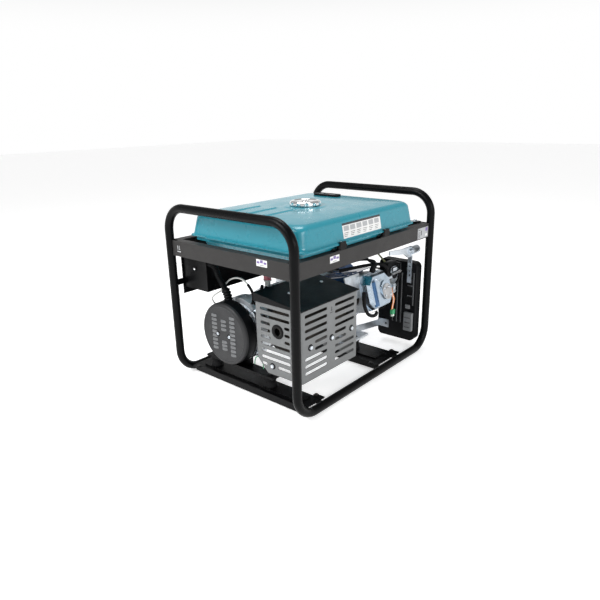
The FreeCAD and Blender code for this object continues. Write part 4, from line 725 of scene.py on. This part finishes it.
def make_labels():
    """The tank's label, the stickers and plates on the band rails, and the mark on the guard."""
    foot_y, shoulder_y = TANK_HI.y - FOOT[3], TANK_HI.y - SHOULDER[3]
    foot = Vector((0, foot_y, SEAM_Z + FLANGE_TOP))
    wall = Vector((0, shoulder_y, SHOULDER_Z)) - foot
    up = wall.normalized()
    start = Vector((128, foot.y, foot.z)) + up * 4.0
    rows = [(0, 1, 0.86, 1, "dark_print")]
    for k in range(6):
        rows.append((0.03 + 0.16 * k, 0.155 + 0.16 * k, 0.48, 0.8, "grey_print"))
        for line in range(3):
            left, low = 0.16 * k, 0.11 * line
            rows.append((0.03 + left, 0.14 + left - 0.02 * line, 0.34 - low, 0.37 - low, "dark_print"))
    make_label("tank_label", start, -X, up, (182.0, 41.0), rows)
    hi = node_box("alternator_upper_rail")[1]
    diamond = [(0.06, 0.3, 0.4, 0.72, "violet_print"), (0.36, 0.62, 0.5, 0.94, "violet_print"),
               (0.68, 0.94, 0.4, 0.72, "violet_print"), (0.3, 0.7, 0.1, 0.26, "grey_print")]
    make_label("end_band_sticker", Vector((hi.x, 116, 416)), Y, Z, (38.0, 18.0), diamond)
    make_label("end_band_plate", Vector((hi.x, -212, 404)), Y, Z, (19.0, 24.0),
               [(0.1, 0.9, 0.1, 0.25, "grey_print"), (0.2, 0.34, 0.4, 0.9, "grey_print"),
                (0.55, 0.8, 0.4, 0.55, "grey_print"), (0.6, 0.7, 0.62, 0.9, "grey_print")], None)
    hi = node_box("rear_upper_rail")[1]
    make_label("side_band_sticker", Vector((200, hi.y, 412)), -X, Z, (40.0, 18.0), diamond)
    boxes = [(0.3, 0.38, 0.3, 0.75, "dark_print"), (0.05, 0.25, 0.8, 0.86, "dark_print"),
             (0.74, 0.94, 0.6, 0.92, "violet_print"), (0.74, 0.94, 0.12, 0.34, "pale_print")]
    boxes += [(0.05, 0.24, 0.1 + 0.12 * k, 0.15 + 0.12 * k, "dark_print") for k in range(5)]
    make_label("rating_plate", Vector((-254, hi.y, 396)), -X, Z, (66.0, 34.0), boxes, "grey_print")
    hi = node_box("muffler_guard")[1]
    make_label("heat_mark", Vector((150, hi.y, 250)), -X, Z, (18.0, 22.0),
               [(0.1, 0.9, 0.1, 0.18, "dark_print"), (0.35, 0.65, 0.4, 0.55, "dark_print"),
                (0.45, 0.55, 0.6, 0.9, "dark_print")], None)


# ---------------------------------------------------------------- alternator

COVER_LO, COVER_HI = node_box("alternator_cover")
SHAFT = Vector((0, (COVER_LO.y + COVER_HI.y) / 2, (COVER_LO.z + COVER_HI.z) / 2))


LOUVRE_PITCH = 12.8
HOOD_STEPS = 5


def louvre_places():
    """Y and Z of each air slot: two long columns, and a short pair between them."""
    for dy, top, count in ((-38.5, 52.0, 9), (39.0, 57.0, 10)):
        for k in range(count):
            yield SHAFT.y + dy, SHAFT.z + top - LOUVRE_PITCH * k
    for k in range(3):
        yield SHAFT.y + 2, SHAFT.z + 41 - LOUVRE_PITCH * k
        yield SHAFT.y + 2, SHAFT.z - 25 - 11.0 * k


def cover_screw_places():
    for y in (SHAFT.y - 26, SHAFT.y + 24):
        yield Vector((COVER_HI.x, y, SHAFT.z - 3))


def make_cover_louvres():
    """Hood over each air slot, closed at the top and open below; the hood is a lighter grey than the cover as
    painted highlight, and its lower lip is near-black as painted shade.
    """
    piece = Piece("cover_louvres")
    face_x = COVER_HI.x
    for y, z in louvre_places():
        rings = []
        for t, share in [(k / HOOD_STEPS, 1.0) for k in range(HOOD_STEPS + 1)] + [(1.0, 0.55)]:
            ring = []
            for u in [k / 5 - 1 for k in range(11)]:
                depth = share * 4.8 * (1 - abs(u) ** 3) * math.sin(t * math.pi / 2) ** 0.8
                ring.append(Vector((face_x - 0.4 + depth, y + 11.5 * u, z + 5.5 - 7.5 * t)))
            rings.append(ring)
        # hood faces in the lighter grey are painted highlight; the near-black lip under each hood is painted
        # shade of the slot
        piece.skin(rings, lambda j: "pale_grey_and_louvre_highlight" if j < HOOD_STEPS else "black_steel", closed=False)
    piece.done("cover_plastic", smooth=60)


def make_cover_trim():
    """Bead round the cover's face, its two recessed screws, and the moulded band behind."""
    piece = Piece("cover_trim")
    face = Vector((COVER_HI.x, SHAFT.y, SHAFT.z))
    back = Vector((COVER_LO.x, SHAFT.y, SHAFT.z))
    piece.lathe(face - X * 2.0, X, [(84, 2.0), (85, 2.9), (87, 3.0), (88.5, 2.2), (89, 1.0)], "cover_plastic",
                96, caps=OPEN)
    piece.lathe(back + X, X, [(96.1, 0), (97.3, 0.6), (97.3, 4.4), (96.1, 5)], "black_plastic", 96, caps=OPEN)
    piece.lathe(back, X, [(96.1, 0.2), (96.35, 1), (96.35, 33), (96.1, 34)], "black_plastic", 96, caps=OPEN)
    for at in cover_screw_places():
        piece.lathe(at, X, [(8.6, -0.5), (8.6, 1.0), (7.9, 1.5), (6.6, 1.3), (6.2, 0.3)], "black_steel", 28,
                    caps=OPEN)
    piece.done("cover_plastic")


CONDUIT = [(253, -97, 250), (252, -98, 269), (262, -106, 303), (276, -112, 336), (287, -109, 371),
           (287, -133, 371)]
LEAD = [(216, -170.95, 200.3), (216, -186.6, 206.6), (224, -197, 219), (238, -193, 237), (250, -171, 256),
        (254, -146, 270), (253, -124, 284), (247, -114, 304), (240, -99, 320), (236, -75, 328),
        (234, -50, 326), (231, -32, 311), (225, -24, 293), (216, -25.3, 268), (216, -35.1, 249.6)]


TUBE_PITCH, BOOT_PITCH = 3.4, 9.0


def make_leads():
    """Corrugated conduit with a boot at its lower end, and the sleeved output lead over the alternator."""
    piece = Piece("conduit_tube")

    def corrugated(s, total):
        boot = ease(-s, -46, -40)
        tube = 8.7 + 0.8 * math.sin(s * 2 * math.pi / TUBE_PITCH) * (1 - boot)
        return tube + boot * (3.4 + 1.5 * math.sin(s * 2 * math.pi / BOOT_PITCH))

    piece.tube(CONDUIT, corrugated, "black_plastic", segments=24, step=0.7)
    piece.done("black_plastic", replaces=("conduit",))
    piece = Piece("output_lead_sheath")
    piece.tube(LEAD, lambda s, total: 2.6 + 1.5 * ease(s - total, -72, -68),
               lambda s, total: "rubber" if s > total - 70 else "white_plastic", step=2.0)
    piece.done("white_plastic", replaces=("output_lead",))


# ---------------------------------------------------------------- bolts

CROSSMEMBERS = ("alternator_crossmember", "engine_crossmember")
MOUNTS = ((256.0, 70.0, 66.0), (256.0, -165.0, 66.0), (-124.0, 96.0, 68.0), (-124.0, -186.0, 68.0))


def frame_bolt_seats():
    """Seat, size across flats, shank radius and shank's lower end of each bolt of the frame."""
    for x, y, z in MOUNTS:
        yield Vector((x, y, z)), 13.0, 4.0, 19.0
    for node in CROSSMEMBERS:
        lo, hi = node_box(node)
        for x in (lo.x + 8, hi.x - 8):
            for y in (lo.y + 24.3, hi.y - 24.3):
                yield Vector((x, y, 25)), 10.0, 3.0, 24.0
    lo, hi = node_box("tank_clips")
    for x in (-45.0, 168.0):
        for y in (lo.y + 13.7, hi.y - 15.7):
            yield Vector((x, y, 441)), 7.0, 3.0, 429.0


def make_bolts():
    """The frame's bolts with their mount plates, and the screws and studs of the guard and alternator."""
    piece = Piece("chassis_bolts")
    for seat, flats, r, low in frame_bolt_seats():
        piece.hex_bolt(seat, Z, flats, "grey_steel", "black_steel")
        shank = [(r - 0.5, 0), (r, 0.6), (r, seat.z - low)]
        piece.lathe(Vector((seat.x, seat.y, low)), Z, shank, "grey_steel", 18)
    for x, y, _ in MOUNTS:
        plate = [(20.5, -0.2), (20.5, 1.6), (18, 2.2)]
        piece.lathe(Vector((x, y, 29)), Z, plate, "black_steel", 30, caps=OPEN)
    piece.done("grey_steel", replaces=("frame_bolts",))

    piece = Piece("machine_screws")
    guard_lo, guard_hi = node_box("muffler_guard")
    dark = "black_steel"
    for x in (235.0, 141.0, 46.0):
        piece.hex_bolt(Vector((x, guard_hi.y, 177.5)), Y, 11.0, washer=dark)
    piece.hex_bolt(Vector((guard_hi.x, 96, 104)), X, 11.0, washer=dark)
    drop = 22.0 / (guard_hi.y + 9 - guard_lo.y)
    slope = Vector((0, math.sin(math.atan(drop)), math.cos(math.atan(drop))))
    for x in (204.0, 60.0):
        seat = Vector((x, 104, guard_hi.z + 3 + drop * (guard_hi.y + 3 - 104)))
        piece.hex_bolt(seat, slope, 9.0, washer=dark)
    for at in cover_screw_places():
        head = [(5.2, -0.2), (5.2, 0.9), (4.2, 2.2), (2.4, 2.7), (2.2, 1.7), (0.6, 1.7)]
        piece.lathe(at, X, head, "zinc", 30)
    for k in range(4):
        turn = math.radians(45 + 90 * k)
        at = Vector((226, SHAFT.y + 92 * math.cos(turn), SHAFT.z + 92 * math.sin(turn)))
        piece.hex_bolt(at, X, 11.0)
        piece.lathe(at - X * 140, X, [(3.0, 0), (3.5, 1), (3.5, 140)], "zinc", 18)
    piece.hex_bolt(Vector((248.2, -4, 229)), X, 12.0)
    collar = [(11.5, -8), (11.5, 1.4), (13, 2.4), (18.5, 2.4), (20.6, 1.2), (20.6, -0.5)]
    piece.lathe(Vector((guard_hi.x, 120, 214)), X, collar, dark, 44, caps=OPEN)
    piece.done("zinc", replaces=("machine_bolts",))


# ---------------------------------------------------------------- engine

TILT = math.radians(15.3)
OUT = Vector((0, math.cos(TILT), math.sin(TILT)))
UP = Vector((0, -math.sin(TILT), math.cos(TILT)))
CRANK = Vector((-130, -81, 164))
COVER_FACE = 289.0


def on_bore(across_by, up_by, out_by):
    """Point in the cylinder's own frame: along X, square to the bore, and along it."""
    return CRANK + X * across_by + UP * up_by + OUT * out_by


def make_valve_cover_trim():
    """Blue inlay raised on the cover, the screwed breather disc and the gasket edge."""
    piece = Piece("valve_cover_trim")
    turn = Matrix((X, OUT, UP)).transposed()
    inlay = on_bore(34.5, 3, COVER_FACE - 2.2)
    piece.block(inlay - Vector((11, 2.6, 39)), inlay + Vector((11, 2.6, 39)), "blue_plastic", 2.2, turn)
    rail = inlay + turn @ Vector((5.6, 2.6, 0))
    piece.block(rail - Vector((1.6, 0.9, 34)), rail + Vector((1.6, 0.9, 34)), "navy_paint", 0.8, turn)
    line = inlay + turn @ Vector((-4.4, 2.4, 0))
    piece.block(line - Vector((1.2, 1.2, 26)), line + Vector((1.2, 1.2, 26)), "gloss_black", 0.6, turn)
    disc = on_bore(-24, 0, COVER_FACE + 3.8)
    breather = [(25.5, 0), (25.5, 1.8), (24, 2.4), (22.5, 2.0), (13, 2.0), (11.5, 3.4), (9, 3.6), (2, 3.6)]
    piece.lathe(disc, OUT, breather, "steel", 56)
    for k in range(4):
        angle = math.radians(45 + 90 * k)
        at = disc + (X * math.cos(angle) + UP * math.sin(angle)) * 18 + OUT * 1.9
        head = [(3.6, 0), (3.6, 1.6), (2.8, 2.4), (1.6, 2.6), (1.3, 1.8), (0.4, 1.8)]
        piece.lathe(at, OUT, head, "zinc", 18)
    piece.done("bright_aluminium")
    piece = Piece("valve_cover_gasket")
    outline = rounded(62.5, 55.5, 22, 80)
    edge = ((1.0, 254.4), (1.02, 254.4), (1.02, 255.6), (1.0, 255.6))
    rings = [[on_bore(u * s, v * s, depth) for u, v in outline] for s, depth in edge]
    piece.skin(rings, "black_steel")
    piece.done("black_steel")


def make_ignition():
    """Plug cap, its lead, and the hoses and wires over and beside the cylinder."""
    piece = Piece("spark_plug_cap")
    cap = Vector((-128, 160, 306))
    lean = Vector((0.05, 0.35, 0.93)).normalized()
    boot = [(8.5, -2), (9.5, 2), (10.5, 4), (9.8, 7), (8.4, 9), (8.4, 20), (9.4, 22), (9.4, 27),
            (7, 30), (3, 31)]
    piece.lathe(cap, lean, boot, "rubber", 28)
    piece.tube([cap + lean * 24, cap + lean * 34, Vector((-120, 172, 343)), Vector((-112, 150, 346)),
                Vector((-104, 110, 338)), Vector((-96, 60, 312))], 3.6, "rubber")
    piece.done("rubber")
    piece = Piece("engine_hoses")
    piece.tube([(-196, 128, 262), (-206, 158, 284), (-200, 172, 304), (-178, 160, 320), (-150, 134, 318),
                (-96, 112, 316), (-60, 80, 308)], 5.4, "rubber")
    piece.tube([(-244, 150, 300), (-250, 172, 292), (-262, 182, 268), (-262, 176, 246), (-252, 168, 232)],
               4.4, "rubber")
    piece.tube([(-64, 172, 252), (-52, 182, 238), (-50, 186, 212), (-66, 188, 184), (-96, 184, 168),
                (-134, 176, 160), (-150, 166, 162)], 5.6, "rubber")
    piece.tube([(-205, 128, 346), (-212, 140, 330), (-222, 150, 312), (-236, 152, 296)], 3.0, "olive_plastic")
    piece.done("rubber")
    piece = Piece("engine_wires")
    wires = (("orange_plastic", 0), ("white_plastic", 3.4), ("orange_plastic", 6.6))
    for k, (finish, shift) in enumerate(wires):
        piece.tube([(-216 + shift, 186, 160), (-217 + shift, 188, 178), (-222 + shift, 190 - k, 196),
                    (-214 + shift, 186, 214), (-220 + shift, 178, 232)], 1.3, finish, segments=8, step=2.0)
    piece.tube([(-120, 160, 300), (-112, 176, 296), (-112, 188, 284), (-124, 190, 278), (-150, 184, 280)],
               1.4, "zinc", segments=8, step=2.0)
    piece.done("rubber")
    piece = Piece("wire_connector")
    at = Vector((-217, 186, 151))
    piece.block(at - Vector((8, 5, 8)), at + Vector((8, 5, 8)), "green_plastic", 1.4)
    piece.block(at - Vector((6, 3.6, 17)), at + Vector((6, 3.6, -8)), "white_plastic", 1.0)
    piece.done("blue_plastic")


def make_intake():
    """Pale intake casting beside the valve cover, with its flange, studs and hose clip."""
    piece = Piece("intake_casting")
    centre = Vector((-222, 158, 230))
    piece.block(centre - Vector((26, 14, 15)), centre + Vector((20, 15, 13)), "cast_aluminium", 6)
    piece.block(centre + Vector((-22, 10, -20)), centre + Vector((-8, 22, 14)), "cast_aluminium", 4)
    piece.lathe(centre + Vector((4, 12, 2)), Y, [(11, 0), (11, 8), (9.6, 10), (7, 10), (6, 7), (1, 7)],
                "bright_aluminium", 32)
    for dx, dz in ((-15, 7), (-15, -12), (14, -9)):
        piece.hex_bolt(centre + Vector((dx, 21.5 if dx < 0 else 14.5, dz)), Y, 7.0)
    piece.done("cast_aluminium")


EARTH = [(254, 40, 72), (250, 34, 96), (258, 20, 112), (262, 12, 96), (256, 6, 80)]


def make_small_parts():
    """Ribs on the air shroud, the fuse holder, the earth wire and the lamp on the control box."""
    piece = Piece("shroud_ribs")
    hi = node_box("cylinder_shroud")[1]
    for k in range(3):
        middle = Vector((-70 + 14 * k, 66 + 14 * k, hi.z + 0.1))
        turn = Matrix.Rotation(math.radians(-52), 3, "Z")
        piece.block(middle - Vector((14, 2.6, 1.2)), middle + Vector((14, 2.6, 1.2)), "navy_paint", 1.1, turn)
    piece.done("navy_paint")
    piece = Piece("fuse_holder")
    at = Vector((122, -60, 296))
    piece.lathe(at, Z, [(6, -22), (9, -18), (9, -4), (13, -2), (13, 2)], "white_plastic", 26)
    piece.lathe(at, Z, [(12, 2), (12, 16), (10.4, 20), (3, 21)], "pink_plastic", 26)
    piece.tube([(128, -60, 276), (140, -56, 262), (158, -50, 262), (172, -40, 280), (176, -30, 296)], 5.0,
               "rubber")
    piece.done("white_plastic")
    piece = Piece("earth_wire")
    piece.tube(EARTH, 1.5, "green_plastic", segments=10, step=2.0)
    piece.done("rubber")
    piece = Piece("box_lamp")
    at = Vector((node_box("control_box")[1].x, -184, 351))
    piece.lathe(at, X, [(7.4, -0.3), (7.4, 1.4), (6.2, 2.4), (5.2, 2.4), (4.2, 4.2), (1.2, 5.0)],
                "black_plastic", 30)
    piece.lathe(at + X * 0.2, X, [(4.3, 3.0), (4.0, 4.6), (2.2, 5.6), (0.5, 5.8)], "chrome", 24)
    piece.done("black_plastic")


def make_filter_trim():
    """Clips, ribs and the drain block on the air filter's inner wall."""
    lo, hi = node_box("air_filter_base")
    piece = Piece("filter_trim")
    face = hi.x
    piece.block((face - 1, hi.y - 36, lo.z + 38), (face + 12, hi.y - 4, lo.z + 104), "pale_grey_and_louvre_highlight", 3)
    for k in range(3):
        z = lo.z + 50 + 17 * k
        piece.block((face + 11.2, hi.y - 32, z), (face + 13.4, hi.y - 8, z + 4), "cover_plastic", 0.9)
    for y in (hi.y - 52, hi.y - 68, hi.y - 84):
        piece.block((face - 1, y - 2, lo.z + 60), (face + 4, y + 2, hi.z - 40), "black_plastic", 1.2)
    for y in (lo.y + 24, hi.y - 26):
        piece.block((face - 2, y - 8, lo.z + 116), (face + 6, y + 8, lo.z + 130), "pale_grey_and_louvre_highlight", 2)
        piece.block((face - 2, y - 8, hi.z - 30), (face + 6, y + 8, hi.z - 16), "pale_grey_and_louvre_highlight", 2)
        piece.hex_bolt(Vector((face + 6, y, hi.z - 23)), X, 5.5)
    piece.block((face - 1, hi.y - 10, lo.z + 130), (face + 3, hi.y - 6, hi.z - 34), "cover_plastic", 1)
    for up in (160, 196):
        piece.block((face - 1, hi.y - 30, lo.z + up), (face + 3, hi.y - 8, lo.z + up + 3.5),
                    "cover_plastic", 1)
    piece.done("cover_plastic")


SPRING_TURNS, TURN_STEPS, SPRING_R, SPRING_LONG = 11, 8, 3.6, 52


def make_carburettor_trim():
    """Float-bowl cover, throttle plate, return spring and screws on the near side of the carburettor."""
    piece = Piece("carburettor_trim")
    piece.block((-274, 150, 258), (-200, 172, 292), "black_plastic", 5)
    piece.block((-262, 146, 288), (-206, 170, 316), "black_plastic", 6)
    piece.block((-282, 156, 270), (-268, 176, 306), "cover_plastic", 3)
    piece.block((-252, 166, 283), (-222, 178, 300), "cast_aluminium", 3)
    piece.block((-270, 172, 262), (-204, 174, 272), "zinc", 0.6)
    piece.lathe(Vector((-240, 172, 272)), Y, [(13, 0), (13, 5), (11, 7), (6, 7.5), (5, 5), (1, 5)],
                "black_plastic", 30)
    for x, z in ((-262, 267), (-212, 267), (-256, 286), (-220, 286)):
        piece.hex_bolt(Vector((x, 174, z)), Y, 5.5)
    start = Vector((-264, 183, 281))
    count = SPRING_TURNS * TURN_STEPS
    spring = []
    for k in range(count + 1):
        angle = 2 * math.pi * k / TURN_STEPS
        ring = Y * SPRING_R * math.cos(angle) + Z * SPRING_R * math.sin(angle)
        spring.append(start + X * (SPRING_LONG * k / count) + ring)
    piece.tube(spring, 0.8, "steel", segments=6, step=1.2)
    piece.done("black_plastic")


RAIL_R = 12.7


def make_welds():
    """Weld beads where the floor rails meet the hoops and the crossmembers meet the floor rails."""
    piece = Piece("weld_beads")
    r = RAIL_R + 0.2
    bead = [(r - 0.5, -2.6), (r, -1.4), (r + 0.1, 0), (r, 1.4), (r - 0.5, 2.6)]
    for sx in (-1, 1):
        for sy in (-1, 1):
            piece.lathe(Vector((sx * 267.5, sy * 243.5, RAIL_R)), X, bead, "black_tube", 40,
                        ripple=lambda t, h: 1 + 0.012 * math.sin(22 * t), caps=OPEN)
    blob = [(0.6, -2.2), (2.6, -1), (2.9, 0), (2.4, 1.2), (0.4, 2)]
    for node in CROSSMEMBERS:
        lo, hi = node_box(node)
        for y, way in ((lo.y, -1), (hi.y, 1)):
            for k in range(10):
                x = lo.x + 8 + (hi.x - lo.x - 16) * k / 9
                piece.lathe(Vector((x, y - way * 0.6, lo.z + 19)), Z, blob, "black_tube", 12)
    piece.done("black_tube")


make_tank()
make_cap()
make_gauge_glass()
make_clip_pads()
make_labels()
make_cover_louvres()
make_cover_trim()
make_leads()
make_bolts()
make_valve_cover_trim()
make_ignition()
make_intake()
make_carburettor_trim()
make_small_parts()
make_filter_trim()
make_welds()
finish_cad_nodes()
